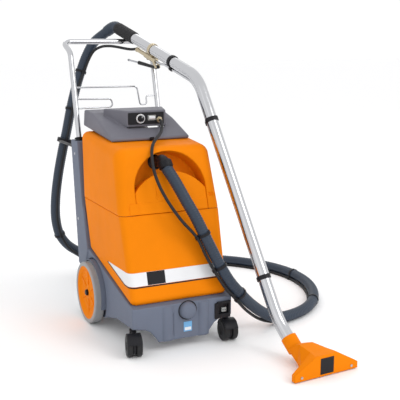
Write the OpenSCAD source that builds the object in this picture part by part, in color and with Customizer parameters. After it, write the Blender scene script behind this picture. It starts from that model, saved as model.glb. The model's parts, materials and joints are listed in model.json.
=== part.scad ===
// Spot extractor: a wheeled spray-extraction cleaning machine with its wand parked on the handle.
// All sizes are millimetres. The machine's own centre plane is x = 0, its front faces -Y and it
// stands on z = 0; row() then moves the whole assembly so that its box is centred on the origin.

/* [Tanks] */
// Half width of the solution tank at its lower edge
tank_low_half_w = 165; // [155:1:168]
// Half width of the recovery tank at the seam
tank_half_w = 173; // [168:1:176]
// Height of the seam between the two tanks
seam_z = 420; // [410:1:430]
// Height of the front lower edge of the solution tank
tank_low_z = 151; // [148:1:156]
// Forward reach of that edge from the machine's datum
tank_front = 181; // [178:1:184]
// Backward lean of the tanks' front face, degrees from upright
front_lean = 15.6; // [14:0.1:17]
// Wall of the moulded tanks
tank_wall = 4; // [3:0.5:5]
// Radius of the arched recess in the recovery tank
arch_r = 122; // [116:1:124]
// Depth of that recess
arch_depth = 60; // [52:1:64]

/* [Chassis] */
// Half width of the chassis
chassis_half_w = 170; // [168:1:173]
// Forward reach of the chassis
chassis_front = 190; // [188:1:192]
// Wall of the chassis moulding
chassis_wall = 5; // [4:0.5:6]
// Height of the rear columns
column_top_z = 606; // [600:1:612]
// Width of one rear column
column_w = 28; // [26:1:30]

/* [Wheels] */
// Radius of the rear wheels
wheel_r = 105; // [102:1:106]
// Width of the rear wheels
wheel_w = 35; // [30:1:36]
// Rear axle: distance behind the datum
axle_y = 168; // [166:1:170]
// Radius of the rear axle
axle_r = 6; // [5:0.5:7]
// Radius of the castor wheels
castor_r = 33.5; // [32:0.5:34]
// Width over the twin castor wheels
castor_w = 48; // [44:1:50]
// Trail of the castors
castor_trail = 24; // [20:1:25]
// Castor stems: distance from the centre plane
castor_x = 160; // [156:1:160]
// Castor stems: distance ahead of the datum
castor_y = 164; // [160:1:166]
// Angle at which the left castor stands
castor_left_turn = -14; // [-30:1:30]
// Angle at which the right castor stands
castor_right_turn = -4; // [-30:1:30]

/* [Handle and wand] */
// Radius of the push handle's tube
handle_r = 9.5; // [9:0.5:10]
// Half distance between the handle's uprights
handle_half_w = 155; // [152:1:158]
// Height of the handle bar
bar_z = 945; // [942:1:948]
// Distance of the bar behind the datum
bar_y = 483; // [481:1:485]
// Radius of the wand's tube
wand_r = 19; // [18:0.5:19.5]
// Wall of the chromed tubes
tube_wall = 1.5; // [1:0.25:2]
// Yaw of the parked wand towards the machine
wand_yaw = 11.5; // [11:0.1:12]
// Pull of the spray lever, degrees
lever_pull = 8; // [5:1:8]

/* [Floor tool] */
// Width of the floor tool's mouth
tool_w = 228; // [220:1:236]
// Height of its front plate
tool_h = 66; // [62:1:68]
// Yaw of the tool on the floor
tool_yaw = 4; // [2:1:6]

/* [Hoses] */
// Radius of the vacuum hose
hose_r = 19; // [18:0.5:19]
// Radius of the solution hose
thin_r = 5; // [4:0.5:5]

/* [Hidden] */
$fn = 48;
eps = 0.5;                       // overlap that makes a cut clean
run_gap = 0.05;                  // radial clearance of a running fit
blend_fn = 24;                   // facets of the balls that round a moulding
centre_x = 95;                 // middle of the assembly's box, in the machine's frame
centre_y = 33;

ORANGE = "#f08a1c";
SLATE = "#59637a";
GREY = "#77757f";
BLACK = "#1c1d20";
CHROME = "#c9ccd0";
STEEL = "#a7abb0";
BRASS = "#b9a06a";
WHITE = "#eceef0";
LIGHT_GREY = "#b3b5b4";
SKY = "#6fb1e0";
HOSE = "#3f4650";

// ---- frames and small helpers -------------------------------------------------------------

module row() translate([-centre_x, -centre_y, 0]) children();

module both_sides() {
    children();
    mirror([1, 0, 0]) children();
}

// Side outline in (y, z), extruded across x from x0 to x1.
module across(x0, x1)
    translate([x0, 0, 0]) rotate([90, 0, 90]) linear_extrude(x1 - x0) children();

// Front outline in (x, z), extruded from y0 back to y1.
module backward(y0, y1)
    translate([0, y1, 0]) rotate([90, 0, 0]) linear_extrude(y1 - y0) children();

// Frame of the tanks' leaning front face: x across, y into the tank, z up the slope from the seam.
lean_rate = tan(front_lean);
function face_y(z) = -tank_front + (z - tank_low_z) * lean_rate;
module on_face() translate([0, face_y(seam_z), seam_z]) rotate([-front_lean, 0, 0]) children();
function face_s(z) = (z - seam_z) / cos(front_lean);

function unit(v) = v / norm(v);
function turn_between(u, v) = acos(max(-1, min(1, u * v)));
function mid_sum(list, k) = k < 0 ? 0 : list[k] + mid_sum(list, k - 1);

// Places children with their z axis along the line from a to b, at a.
module along(a, b) {
    d = unit(b - a);
    translate(a) rotate([0, acos(d[2]), atan2(d[1], d[0])]) children();
}

module rod(a, b, r, inner = 0) along(a, b) difference() {
    cylinder(r = r, h = norm(b - a));
    if (inner > 0) translate([0, 0, -eps]) cylinder(r = inner, h = norm(b - a) + 2 * eps);
}

// Points along a route whose corners are bent; bends[k] is the radius at corner k.
bend_step = 15;                  // largest turn between two rings, degrees
function bend_points(route, bends, k) = let (
    u = unit(route[k] - route[k - 1]),
    v = unit(route[k + 1] - route[k]),
    turn = turn_between(u, v),
    start = route[k] - u * bends[k] * tan(turn / 2),
    centre = route[k] + unit(v - u) * bends[k] / cos(turn / 2),
    x = unit(start - centre),
    n = max(2, ceil(turn / bend_step)))
    [for (i = [0 : n]) centre + (x * cos(turn * i / n) + u * sin(turn * i / n)) * bends[k]];
function bent_path(route, bends) = let (n = len(route)) concat([route[0]],
    [for (k = [1 : 1 : n - 2]) each bend_points(route, bends, k)], [route[n - 1]]);

// Rings of a tube swept along a path, each carried on from the last without twist.
function tangent(path, k) = let (n = len(path))
    k == 0 ? unit(path[1] - path[0]) :
    k == n - 1 ? unit(path[n - 1] - path[n - 2]) :
    unit(unit(path[k + 1] - path[k]) + unit(path[k] - path[k - 1]));
function square_to(t, v) = unit(v - t * (v * t));
function first_side(t) = square_to(t, abs(t[0]) < 0.8 ? [1, 0.2, 0.1] : [0.1, 1, 0.2]);
function carried(path, k) = k == 0 ? first_side(tangent(path, 0)) :
    square_to(tangent(path, k), carried(path, k - 1));
function ring(path, k, r, sides) = let (t = tangent(path, k), u = carried(path, k), v = cross(t, u))
    [for (j = [0 : sides - 1]) path[k] + (u * cos(j * 360 / sides) + v * sin(j * 360 / sides)) * r];
function skin(n, sides, base, flip) = [for (k = [0 : n - 2], j = [0 : sides - 1])
    let (i = (j + 1) % sides, a = base + k * sides + j, b = base + (k + 1) * sides + j,
         c = base + (k + 1) * sides + i, d = base + k * sides + i)
    each flip ? [[a, c, b], [a, d, c]] : [[a, b, c], [a, c, d]]];
function rim(sides, outer, inner, flip) = [for (j = [0 : sides - 1])
    let (i = (j + 1) % sides, a = outer + j, b = outer + i, c = inner + i, d = inner + j)
    each flip ? [[a, c, b], [a, d, c]] : [[a, b, c], [a, c, d]]];

module swept_tube(path, r, sides, inner = 0) {
    n = len(path);
    outer_points = [for (k = [0 : n - 1]) each ring(path, k, r, sides)];
    if (inner > 0) {
        inner_points = [for (k = [0 : n - 1]) each ring(path, k, inner, sides)];
        polyhedron(concat(outer_points, inner_points), concat(
            skin(n, sides, 0, false), skin(n, sides, n * sides, true),
            rim(sides, 0, n * sides, false),
            rim(sides, (n - 1) * sides, (2 * n - 1) * sides, true)), convexity = 10);
    } else {
        start_cap = [for (j = [0 : sides - 1]) j];
        end_cap = [for (j = [sides - 1 : -1 : 0]) (n - 1) * sides + j];
        polyhedron(outer_points, concat(skin(n, sides, 0, false), [start_cap], [end_cap]), convexity = 10);
    }
}

module bent_tube(route, bends, r, inner = 0, sides = 16)
    swept_tube(bent_path(route, bends), r, sides, inner);

// A rounded moulding: the skin round a ball at each corner, r less inset.
module moulding(corners, inset = 0) hull()
    for (c = corners) translate([c[0], c[1], c[2]]) sphere(r = c[3] - inset, $fn = blend_fn);

function mirrored(list) = concat(list, [for (c = list) [-c[0], c[1], c[2], c[3]]]);

// Frame of the wand: a is the distance from the neck in plan, s the step to its right side.
neck = [263, -455, 0];
function wand_at(a, z, s = 0) =
    neck + [-a * sin(wand_yaw) + s * cos(wand_yaw), a * cos(wand_yaw) + s * sin(wand_yaw), z];

// ---- chassis ------------------------------------------------------------------------------

// Lower edge line of the solution tank, along which the cradle runs.
low_rate = 0.2276;
function low_z(y) = tank_low_z + (y + tank_front) * low_rate;
cradle_gap = 3;
column_back = 381;
column_x = 174;                  // outer face of a column
pan_z = 84;
pan_t = 3;
arch_gap = 10;
wheel_x = 169;                   // inner face of a rear wheel

side_outline = [
    [-chassis_front, pan_z], [-chassis_front, low_z(-tank_front) - cradle_gap],
    [-38, low_z(-38) - cradle_gap], [107, low_z(107) - cradle_gap], [232, low_z(232) - cradle_gap],
    [262, 380], [330, 380], [330, 167], [318, 62], [250, 46], [120, 30], [-47, 75]];
column_outline = [
    [226, 236], [278, seam_z], [309, column_top_z], [column_back, column_top_z],
    [356, 390], [330, 167], [262, 172]];
column_core = [
    [262, 300], [284, seam_z], [313.5, column_top_z - 5], [column_back - 5, column_top_z - 5],
    [351, 390], [330, 200], [264, 200]];
deck_outline = [
    [-chassis_front + 1, low_z(-chassis_front) - cradle_gap], [232, low_z(232) - cradle_gap],
    [232, low_z(232) - cradle_gap - 4], [-chassis_front + 1, low_z(-chassis_front) - cradle_gap - 4]];
skirt_outline = [
    [-chassis_half_w, pan_z], [-128, 76], [-110, 66], [-94, 46], [-84, 29], [84, 29], [94, 46],
    [110, 66], [128, 76], [chassis_half_w, pan_z],
    [chassis_half_w, low_z(-tank_front) - cradle_gap], [-chassis_half_w, low_z(-tank_front) - cradle_gap]];
knob_at = [14, 0, 122];
knob_bore_r = 13.1;
socket_at = [141, 0, 103];
socket_hole = [70, 0, 50];
bulge_x = [-53, 70];
bulge_r = 27;
bulge_out = 7;

module side_wall() difference() {
    union() {
        across(chassis_half_w - chassis_wall, chassis_half_w) polygon(side_outline);
        translate([wheel_x - 13, axle_y, wheel_r]) rotate([0, 90, 0])
            cylinder(r = wheel_r + arch_gap + 4, h = 13.5);
    }
    translate([wheel_x - 9, axle_y, wheel_r]) rotate([0, 90, 0])
        cylinder(r = wheel_r + arch_gap, h = 30);
    translate([wheel_x - 20, axle_y, wheel_r]) rotate([0, 90, 0]) cylinder(r = axle_r + 0.1, h = 20);
    across(100, 200) polygon([[-250, -60], [-250, pan_z], [-47, 71], [120, 26], [250, 42], [400, 60], [400, -60]]);
    across(100, 200) polygon([[322, 60], [334, 167], [420, 167], [420, 0], [318, 0]]);
}

module column() difference() {
    across(column_x - column_w, column_x) polygon(column_outline);
    across(column_x - column_w + 4, column_x - 4) polygon(column_core);
    rod(upright_point(460), upright_point(620), handle_r + 3.5);
}

module front_bulge(x) translate([x, -chassis_front + bulge_r - bulge_out, 31]) difference() {
    cylinder(r = bulge_r, h = 112);
    translate([0, 0, -eps]) cylinder(r = bulge_r - chassis_wall, h = 113);
    translate([-40, -bulge_r + bulge_out + chassis_wall, -1]) cube([80, 80, 120]);
}

module chassis_shell() {
    color(SLATE) row() {
        difference() {
            union() {
                backward(-chassis_front, -chassis_front + chassis_wall) polygon(skirt_outline);
                both_sides() side_wall();
                both_sides() column();
                for (x = bulge_x) front_bulge(x);
                difference() {
                    across(-chassis_half_w + 1, chassis_half_w - 1) polygon(deck_outline);
                    translate([-40, 60, 180]) cylinder(r = 16.5, h = 40);
                }
                backward(322, 327) polygon([[-168, 62], [-168, 166], [168, 166], [168, 62]]);
            }
            translate([knob_at[0], -chassis_front - 10, knob_at[2]]) rotate([-90, 0, 0])
                cylinder(r = knob_bore_r + 6, h = 30);
            both_sides() translate([castor_x, -castor_y, pan_z - 1]) cylinder(r = 7.2, h = 10);
            translate([socket_at[0] - socket_hole[0] / 2 + 12, -chassis_front - 1, socket_at[2] - socket_hole[2] / 2])
                cube([socket_hole[0] - 24, chassis_wall + 2, socket_hole[2]]);
            for (x = bulge_x) translate([x - bulge_r + 8, -chassis_front - eps, 40])
                cube([2 * bulge_r - 16, chassis_wall + 1, 80]);
        }
    }
}

module back_panel() {
    color(SLATE) row() difference() {
        across(-(column_x - column_w) + 0.5, column_x - column_w - 0.5)
            polygon([[327.5, 62], [334, 167], [352, 390], [376, 602], [371, 602], [347, 390], [329, 167], [322.5, 62]]);
        backward(300, 345) polygon([[-170, 60], [-170, 167.5], [170, 167.5], [170, 60]]);
        for (x = [-60 : 15 : 60]) translate([x - 4, 330, 470]) cube([8, 60, 70]);
        for (x = [-125, 125], z = [200, 560]) translate([x, 300, z]) rotate([-90, 0, 0]) cylinder(r = 2.6, h = 100);
    }
}

module floor_pan() {
    color(STEEL) row() difference() {
        union() {
            translate([-165, -184.5, pan_z]) cube([330, 229, pan_t]);
            translate([-150, 40, pan_z]) cube([300, 220, pan_t]);
            both_sides() translate([castor_x, -castor_y, pan_z]) cylinder(r = 7, h = 8);
            both_sides() translate([149, 148, pan_z]) cube([3, 40, 45]);
        }
        both_sides() translate([castor_x, -castor_y, pan_z - 1]) cylinder(r = 4 + run_gap, h = 12);
        both_sides() translate([140, axle_y, wheel_r]) rotate([0, 90, 0])
            cylinder(r = axle_r + run_gap, h = 20);
    }
}

// ---- rear wheels --------------------------------------------------------------------------

module wheel_axle() {
    color(STEEL) row() translate([-(wheel_x + wheel_w - 2), axle_y, wheel_r]) rotate([0, 90, 0])
        cylinder(r = axle_r, h = 2 * (wheel_x + wheel_w - 2));
}

module axle_caps() {
    color(BLACK) row() both_sides() translate([wheel_x + wheel_w - 9.5, axle_y, wheel_r]) rotate([0, 90, 0])
        difference() {
            union() {
                cylinder(r = 10, h = 8);
                translate([0, 0, 8]) cylinder(r1 = 10, r2 = 7, h = 1.6, $fn = 48);
            }
            translate([0, 0, -eps]) cylinder(r = axle_r, h = 8);
        }
}

// A rear wheel's cross-section is (radius, distance out from the inner face).
tyre_in_r = 91;
module on_wheel() translate([wheel_x, axle_y, wheel_r]) rotate([0, 90, 0]) children();

module tyre() on_wheel() rotate_extrude($fn = 96) polygon([
    [tyre_in_r, 1], [wheel_r - 4, 0], [wheel_r - 1, 3], [wheel_r, 9], [wheel_r, wheel_w - 9],
    [wheel_r - 1, wheel_w - 3], [wheel_r - 4, wheel_w], [tyre_in_r, wheel_w - 1]]);

module wheel_disc() on_wheel() rotate_extrude($fn = 96) polygon([
    [axle_r + run_gap, 2], [16, 2], [16, 15], [70, 15], [76, 1], [tyre_in_r, 1],
    [tyre_in_r, wheel_w - 2], [80, wheel_w - 4], [72, wheel_w - 11], [40, wheel_w - 12],
    [20, wheel_w - 11], [16, wheel_w - 11], [axle_r + run_gap, wheel_w - 11]]);

module tyre_left() { color(LIGHT_GREY) row() mirror([1, 0, 0]) tyre(); }
module tyre_right() { color(LIGHT_GREY) row() tyre(); }
module wheel_disc_left() { color(ORANGE) row() mirror([1, 0, 0]) wheel_disc(); }
module wheel_disc_right() { color(ORANGE) row() wheel_disc(); }

// ---- castors ------------------------------------------------------------------------------

web_w = 10;                      // thickness of a castor's middle web
castor_pin_r = 4;

// side is -1 for the left castor; the wheels trail towards the front.
module on_castor(side, turn) translate([side * castor_x, -castor_y, 0]) rotate([0, 0, turn]) children();

module castor_fork(side, turn) {
    color(BLACK) row() on_castor(side, turn) {
        difference() {
            union() {
                translate([-web_w / 2, -castor_trail, castor_r]) rotate([0, 90, 0])
                    cylinder(r = castor_r - 6, h = web_w);
                translate([-web_w / 2, -castor_trail, castor_r]) cube([web_w, castor_trail + 8, 40]);
                difference() {
                    translate([-castor_w / 2 + 2, -castor_trail, castor_r]) rotate([0, 90, 0])
                        cylinder(r = castor_r + 4.5, h = castor_w - 4);
                    translate([-castor_w, -castor_trail, castor_r]) rotate([0, 90, 0])
                        cylinder(r = castor_r + 1.5, h = 2 * castor_w);
                    translate([-castor_w, -castor_trail - 60, -20]) cube([2 * castor_w, 120, castor_r + 32]);
                }
                translate([0, 0, 64]) cylinder(r = 11, h = 14);
            }
            translate([-web_w, -castor_trail, castor_r]) rotate([0, 90, 0])
                cylinder(r = castor_pin_r + run_gap, h = 2 * web_w);
        }
        translate([0, 0, 77]) cylinder(r = 4, h = 20);
    }
}

module castor_wheels(side, turn) {
    color(BLACK) row() on_castor(side, turn) translate([0, -castor_trail, castor_r]) rotate([0, 90, 0]) {
        for (face = [-castor_w / 2, web_w / 2 + 1]) translate([0, 0, face]) {
            rotate_extrude() polygon([
                [0, 3], [14, 3], [16, 0], [castor_r - 3, 0], [castor_r, 3],
                [castor_r, castor_w / 2 - web_w / 2 - 4], [castor_r - 3, castor_w / 2 - web_w / 2 - 1],
                [0, castor_w / 2 - web_w / 2 - 1]]);
        }
        translate([0, 0, -castor_w / 2 + 5]) cylinder(r = castor_pin_r, h = castor_w - 10);
    }
}

module castor_fork_left() { castor_fork(-1, castor_left_turn); }
module castor_fork_right() { castor_fork(1, castor_right_turn); }
module castor_wheels_left() { castor_wheels(-1, castor_left_turn); }
module castor_wheels_right() { castor_wheels(1, castor_right_turn); }

// ---- tanks --------------------------------------------------------------------------------

low_r = 20;
lower_corners = mirrored([
    [tank_low_half_w - low_r, face_y(177) + 20.8, 177, low_r],
    [tank_half_w - 2 - low_r, face_y(440) + 20.8, 440, low_r],
    [tank_low_half_w - low_r, 211, 261, low_r],
    [tank_half_w - 2 - low_r, 252, 440, low_r]]);
upper_corners = mirrored([
    [tank_half_w - 24, face_y(400) + 25, 400, 24],
    [tank_half_w - 46, face_y(584) + 39.5, 584, 38],
    [tank_half_w - 24, 240, 400, 24],
    [tank_half_w - 32, 272, 620, 24]]);
seam_gap = 1;
mouth_at = [0, 165, 0];
mouth_r = 92;
arch_x = 7;
arch_s = 73;
column_clear = column_x - column_w - 2;

module arch_outline(grow = 0) {
    translate([arch_x, arch_s]) circle(r = arch_r + grow, $fn = 96);
    translate([arch_x - arch_r - grow, -30]) square([2 * (arch_r + grow), arch_s + 30]);
}

// Outline children in (x, s) cut into the leaning face from depth d0 to d1.
module into_face(d0, d1)
    on_face() translate([0, d1, 0]) rotate([90, 0, 0]) linear_extrude(d1 - d0) children();

module solution_tank() {
    color(ORANGE) row() difference() {
        intersection() {
            moulding(lower_corners);
            translate([-300, -300, 0]) cube([600, 600, seam_z - seam_gap]);
        }
        intersection() {
            moulding(lower_corners, tank_wall);
            translate([-300, -300, 0]) cube([600, 600, seam_z - seam_gap - tank_wall]);
        }
        translate([arch_x, -38, seam_z - 10]) cylinder(r = 30, h = 20);
        translate([-40, 60, 190]) cylinder(r = 11, h = 40);
    }
}

module recovery_tank() {
    color(ORANGE) row() difference() {
        intersection() {
            moulding(upper_corners);
            translate([-300, -300, seam_z]) cube([600, 600, 400]);
        }
        difference() {
            intersection() {
                moulding(upper_corners, tank_wall);
                translate([-300, -300, seam_z + tank_wall]) cube([600, 600, 400]);
            }
            into_face(-60, arch_depth + tank_wall) arch_outline(tank_wall);
        }
        into_face(-60, arch_depth) arch_outline();
        translate([mouth_at[0], mouth_at[1], 560]) cylinder(r = mouth_r, h = 120);
        on_face() translate([elbow_x, 0, elbow_s]) rotate([-90, 0, 0]) cylinder(r = 17.3, h = 120);
        into_face(-10, 6) translate([135, 40]) square([22, 12]);
    }
}

cover_clear = 1.2;
module filler_cover() {
    color(ORANGE) row() difference() {
        union() {
            into_face(2, 40) intersection() {
                translate([arch_x, face_s(401)]) circle(r = 150, $fn = 96);
                translate([arch_x - arch_r + cover_clear, 0]) square([2 * (arch_r - cover_clear), 150]);
            }
            into_face(0, 40) intersection() {
                translate([arch_x, -75]) circle(r = 168, $fn = 96);
                translate([arch_x - arch_r + cover_clear, 0]) square([2 * (arch_r - cover_clear), 36]);
            }
        }
        into_face(6, 41) intersection() {
            translate([arch_x, face_s(401)]) circle(r = 145, $fn = 96);
            translate([arch_x - arch_r + 6, 5]) square([2 * arch_r - 12, 150]);
        }
        into_face(-5, 4) {
            translate([-44, 50]) square([7, 36]);
            translate([-40.5, 50]) circle(r = 7);
            translate([-40.5, 86]) circle(r = 3.5);
        }
        translate([-300, -300, seam_z - 100]) cube([600, 600, 100 + 0.6]);
    }
}

stripe_low = 211;
stripe_high = 251;
module stripe_band() {
    color(WHITE) row() difference() {
        intersection() {
            moulding(lower_corners, -1.2);
            union() {
                translate([-145, -260, stripe_low]) cube([290, 150, stripe_high - stripe_low]);
                both_sides() across(140, 180) polygon([
                    [-260, stripe_low], [-120, stripe_low], [30, 246], [-120, stripe_high], [-260, stripe_high]]);
            }
        }
        moulding(lower_corners, 0);
    }
}

module badge_plate() {
    color(BLACK) row() translate([-108, face_y(stripe_low) - 3.5, stripe_low])
        rotate([-front_lean, 0, 0]) cube([60, 2, 40]);
}

module label_plate() {
    color(SKY) row() translate([1, -chassis_front - 1.2, 52]) cube([28, 1.2, 32]);
}

// ---- suction head -------------------------------------------------------------------------

head_r = 6;
head_corners = mirrored([
    [131, 61, 635, head_r], [131, 122, 649, head_r + 1], [129, 189, 680, head_r + 2],
    [127, 262, 699, head_r + 2], [131, 332, 706, head_r], [134, 332, 662, head_r]]);
console_r = 4;
console_corners = [
    [-58, 122, 672, console_r], [78, 122, 672, console_r],
    [-56, 124, 718, console_r], [76, 124, 718, console_r],
    [-96, 236, 718, console_r], [112, 236, 718, console_r],
    [-96, 236, 690, console_r], [112, 236, 690, console_r]];
head_wall = 4;
panel_y = 118;                   // front face of the console
panel_x = [-56, 71];
panel_z = [676, 715];
dial_at = [-13, 695];
rocker_at = [27, 697];
outlet_at = [52, 690];

function lowered(list, drop) = [for (c = list) [c[0], c[1], c[2] - drop, c[3]]];

float_y = 214;
module head_cover() {
    color(GREY) row() difference() {
        union() {
            moulding(head_corners);
            moulding(console_corners);
        }
        moulding(concat(head_corners, lowered(head_corners, 12)), head_wall);
        hull() for (x = [-50, 70], y = [130, 220]) translate([x, y, 660]) cylinder(r = 6, h = 55);
        translate([panel_x[0] + 3, panel_y - 3, panel_z[0] + 3])
            cube([panel_x[1] - panel_x[0] - 6, 20, panel_z[1] - panel_z[0] - 6]);
        for (x = [-40 : 16 : 40]) translate([x - 3, 300, 680]) cube([6, 60, 22]);
    }
}

base_z = 634;
pad_z = 645;                     // underside of the pad that carries the motor
module head_base() {
    color(BLACK) row() difference() {
        union() {
            translate([mouth_at[0], mouth_at[1], 604]) cylinder(r = mouth_r - 1, h = base_z + 3 - 604);
            translate([0, float_y, base_z - 4]) cylinder(r = 32, h = pad_z + 3 - base_z + 4);
            translate([-60, 176, pad_z]) cube([120, 124, 3]);
        }
        translate([mouth_at[0], mouth_at[1], 600]) cylinder(r = mouth_r - 5, h = 26);
        translate([0, float_y, 610]) cylinder(r = 26, h = 60);
    }
}

module head_gasket() {
    color(BLACK) row() translate([mouth_at[0], mouth_at[1], 599.5]) difference() {
        cylinder(r = mouth_r - 1, h = 4);
        translate([0, 0, -1]) cylinder(r = mouth_r - 5, h = 6);
    }
}

module control_panel() {
    color(BLACK) row() difference() {
        translate([panel_x[0], panel_y - 2, panel_z[0]])
            cube([panel_x[1] - panel_x[0], 1.9, panel_z[1] - panel_z[0]]);
        translate([dial_at[0], panel_y - 5, dial_at[1]]) rotate([-90, 0, 0]) cylinder(r = 4 + run_gap, h = 10);
        translate([rocker_at[0] - 11, panel_y - 5, rocker_at[1] - 7]) cube([22, 10, 14]);
        translate([outlet_at[0], panel_y - 5, outlet_at[1]]) rotate([-90, 0, 0]) cylinder(r = 7.2, h = 10);
    }
}

module dial_ring() {
    color(WHITE) row() translate([dial_at[0], panel_y - 3.6, dial_at[1]]) rotate([-90, 0, 0]) difference() {
        cylinder(r = 15.5, h = 1.6);
        translate([0, 0, -1]) cylinder(r = 11, h = 4);
    }
}

module dial_knob() {
    color(BLACK) row() translate([dial_at[0], panel_y, dial_at[1]]) rotate([90, 0, 0]) {
        translate([0, 0, 2.6]) cylinder(r = 10.5, h = 10);
        translate([-2.5, -10, 12]) cube([5, 20, 5]);
        translate([0, 0, -14]) cylinder(r = 4, h = 17);
    }
}

module rocker_switch() {
    color(WHITE) row() translate([rocker_at[0], panel_y, rocker_at[1]]) intersection() {
        translate([-10.5, 0, 0]) rotate([0, 90, 0]) cylinder(r = 6.5, h = 21);
        translate([-20, -10, -6]) cube([40, 20, 12]);
    }
}

module solution_coupling() {
    color(BRASS) row() translate([outlet_at[0], panel_y, outlet_at[1]]) rotate([90, 0, 0]) {
        translate([0, 0, -12]) cylinder(r = 7, h = 16);
        translate([0, 0, 2.2]) cylinder(r = 11, h = 7, $fn = 6);
        difference() {
            cylinder(r = 6.5, h = 14);
            translate([0, 0, 9]) cylinder(r = 3, h = 6);
        }
    }
}

module latch_pin() {
    color(BLACK) row() translate([-2, 54.9, 0]) {
        translate([-4, -9, 630]) cube([8, 9, 9]);
        translate([-7, -12, 633]) cube([14, 5, 8]);
    }
}

motor_y = 240;
module vacuum_motor() {
    color(STEEL) row() translate([0, motor_y, 0]) difference() {
        union() {
            translate([0, 0, pad_z + 3.2]) cylinder(r = 57, h = 8);
            translate([0, 0, pad_z + 6]) cylinder(r = 55, h = 27);
            translate([0, 0, pad_z + 32]) cylinder(r = 28, h = 16);
        }
        translate([0, 0, pad_z + 9]) cylinder(r = 51, h = 19);
        translate([0, 0, pad_z + 1]) cylinder(r = 22, h = 12);
        translate([0, 0, pad_z + 25]) cylinder(r = 5 + run_gap, h = 30);
        translate([0, 0, pad_z + 35]) cylinder(r = 24, h = 10);
    }
}

module motor_rotor() {
    color(CHROME) row() translate([0, motor_y, pad_z]) {
        translate([0, 0, 12]) cylinder(r = 5, h = 34);
        translate([0, 0, 11]) cylinder(r = 48, h = 2);
        for (k = [0 : 8]) rotate([0, 0, k * 40]) translate([12, -1, 12]) cube([34, 2, 10]);
        translate([0, 0, 37]) cylinder(r = 20, h = 6);
        translate([0, 0, 12]) cylinder(r = 13, h = 11);
    }
}

cage_r = 24;
ring_z = 612.4;
module float_cage() {
    color(LIGHT_GREY) row() translate([0, float_y, 0]) {
        difference() {
            translate([0, 0, ring_z]) cylinder(r = 34, h = 13.6);
            translate([0, 0, ring_z - 1]) cylinder(r = 20, h = 20);
        }
        for (k = [0 : 5]) rotate([0, 0, k * 60]) translate([cage_r, 0, 536]) cylinder(r = 2.5, h = ring_z - 534);
        difference() {
            translate([0, 0, 534]) cylinder(r = cage_r + 3, h = 4);
            translate([0, 0, 533]) cylinder(r = 9, h = 6);
        }
    }
}

ball_r = 20.5;
module float_ball() {
    color(WHITE) row() translate([0, float_y, 538.6 + ball_r]) sphere(r = ball_r);
}

// ---- hose inlet ---------------------------------------------------------------------------

elbow_x = -14;
elbow_s = 168;
wall_point = [elbow_x, face_y(seam_z) + arch_depth * cos(front_lean) + elbow_s * sin(front_lean),
              seam_z - arch_depth * sin(front_lean) + elbow_s * cos(front_lean)];
face_out = [0, -cos(front_lean), sin(front_lean)];
elbow_corner = wall_point + face_out * 74;

module inlet_elbow() {
    hose_out = unit(vacuum_route[1] - vacuum_route[0]);
    color(BLACK) row() {
        bent_tube([wall_point - face_out * 12, elbow_corner, vacuum_route[0] - hose_out * 6],
                  [0, 26, 0], 17, 14);
        rod(wall_point + face_out * 0.5, wall_point + face_out * 5, 24, 15);
        rod(vacuum_route[0] - hose_out * 24, vacuum_route[0] - hose_out * 0.3, 22.5, 16);
    }
}

module inlet_pipe() {
    start = wall_point - face_out * 12.5;
    color(LIGHT_GREY) row()
        bent_tube([start, start - face_out * 45, start - face_out * 45 + [0, 4, -60]], [0, 22, 0], 17, 14.5);
}

// ---- works inside the chassis -------------------------------------------------------------

module pump() {
    color(STEEL) row() {
        translate([-60, 20, 130]) rotate([0, 90, 0]) cylinder(r = 34, h = 95);
        translate([-92, -16, 94]) cube([33, 72, 66]);
        translate([-60, -10, 87.2]) cube([90, 60, 12]);
    }
}

module solution_filter() {
    color(LIGHT_GREY) row() translate([-40, 60, 176]) difference() {
        union() {
            cylinder(r = 10.8, h = 45);
            cylinder(r = 16, h = 8);
        }
        translate([0, 0, 3]) cylinder(r = 8, h = 50);
    }
}

module internal_hoses() {
    color(HOSE) row() {
        bent_tube([[-78, 57, 140], [-78, 90, 140], [-40, 90, 140], [-40, 60.1, 140], [-40, 60, 175.5]],
                  [0, 14, 14, 14, 0], 6);
        bent_tube([[-78, -16.5, 120], [-78, -60, 120], [110, -60, 120], [110, 292, 120], [110, 312, 610],
                   [52, 300, 684], [52, 165, 684], [52, 131, 690]], [0, 25, 25, 25, 25, 30, 40, 0], 5);
    }
}

module drain_valve() {
    color(BLACK) row() translate([knob_at[0], -chassis_front, knob_at[2]]) rotate([-90, 0, 0]) difference() {
        union() {
            translate([0, 0, 0.5]) cylinder(r = knob_bore_r + 5.5, h = 60);
            translate([0, 0, 5.2]) cylinder(r = knob_bore_r + 7, h = 5);
        }
        translate([0, 0, -1]) cylinder(r = knob_bore_r, h = 50);
    }
}

module drain_knob() {
    color(BLACK) row() translate([knob_at[0], -chassis_front, knob_at[2]]) rotate([90, 0, 0]) {
        difference() {
            translate([0, 0, 1]) cylinder(r = 28, h = 20);
            for (k = [0 : 11]) rotate([0, 0, k * 30 + 15]) translate([29.5, 0, 0]) cylinder(r = 3, h = 30);
            translate([0, 0, 19]) cylinder(r = 20, h = 3);
        }
        translate([0, 0, -44]) cylinder(r = knob_bore_r - run_gap, h = 45.5);
    }
}

module accessory_socket() {
    color(BLACK) row() translate([socket_at[0], -chassis_front, socket_at[2]]) difference() {
        union() {
            translate([-32, -3, -26]) cube([56, 2.8, 52]);
            translate([-22, -0.5, -15]) cube([44, 15, 39]);
        }
        translate([-18, -4, -12]) cube([36, 15, 32]);
    }
}

// ---- push handle and racks ----------------------------------------------------------------

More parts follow.
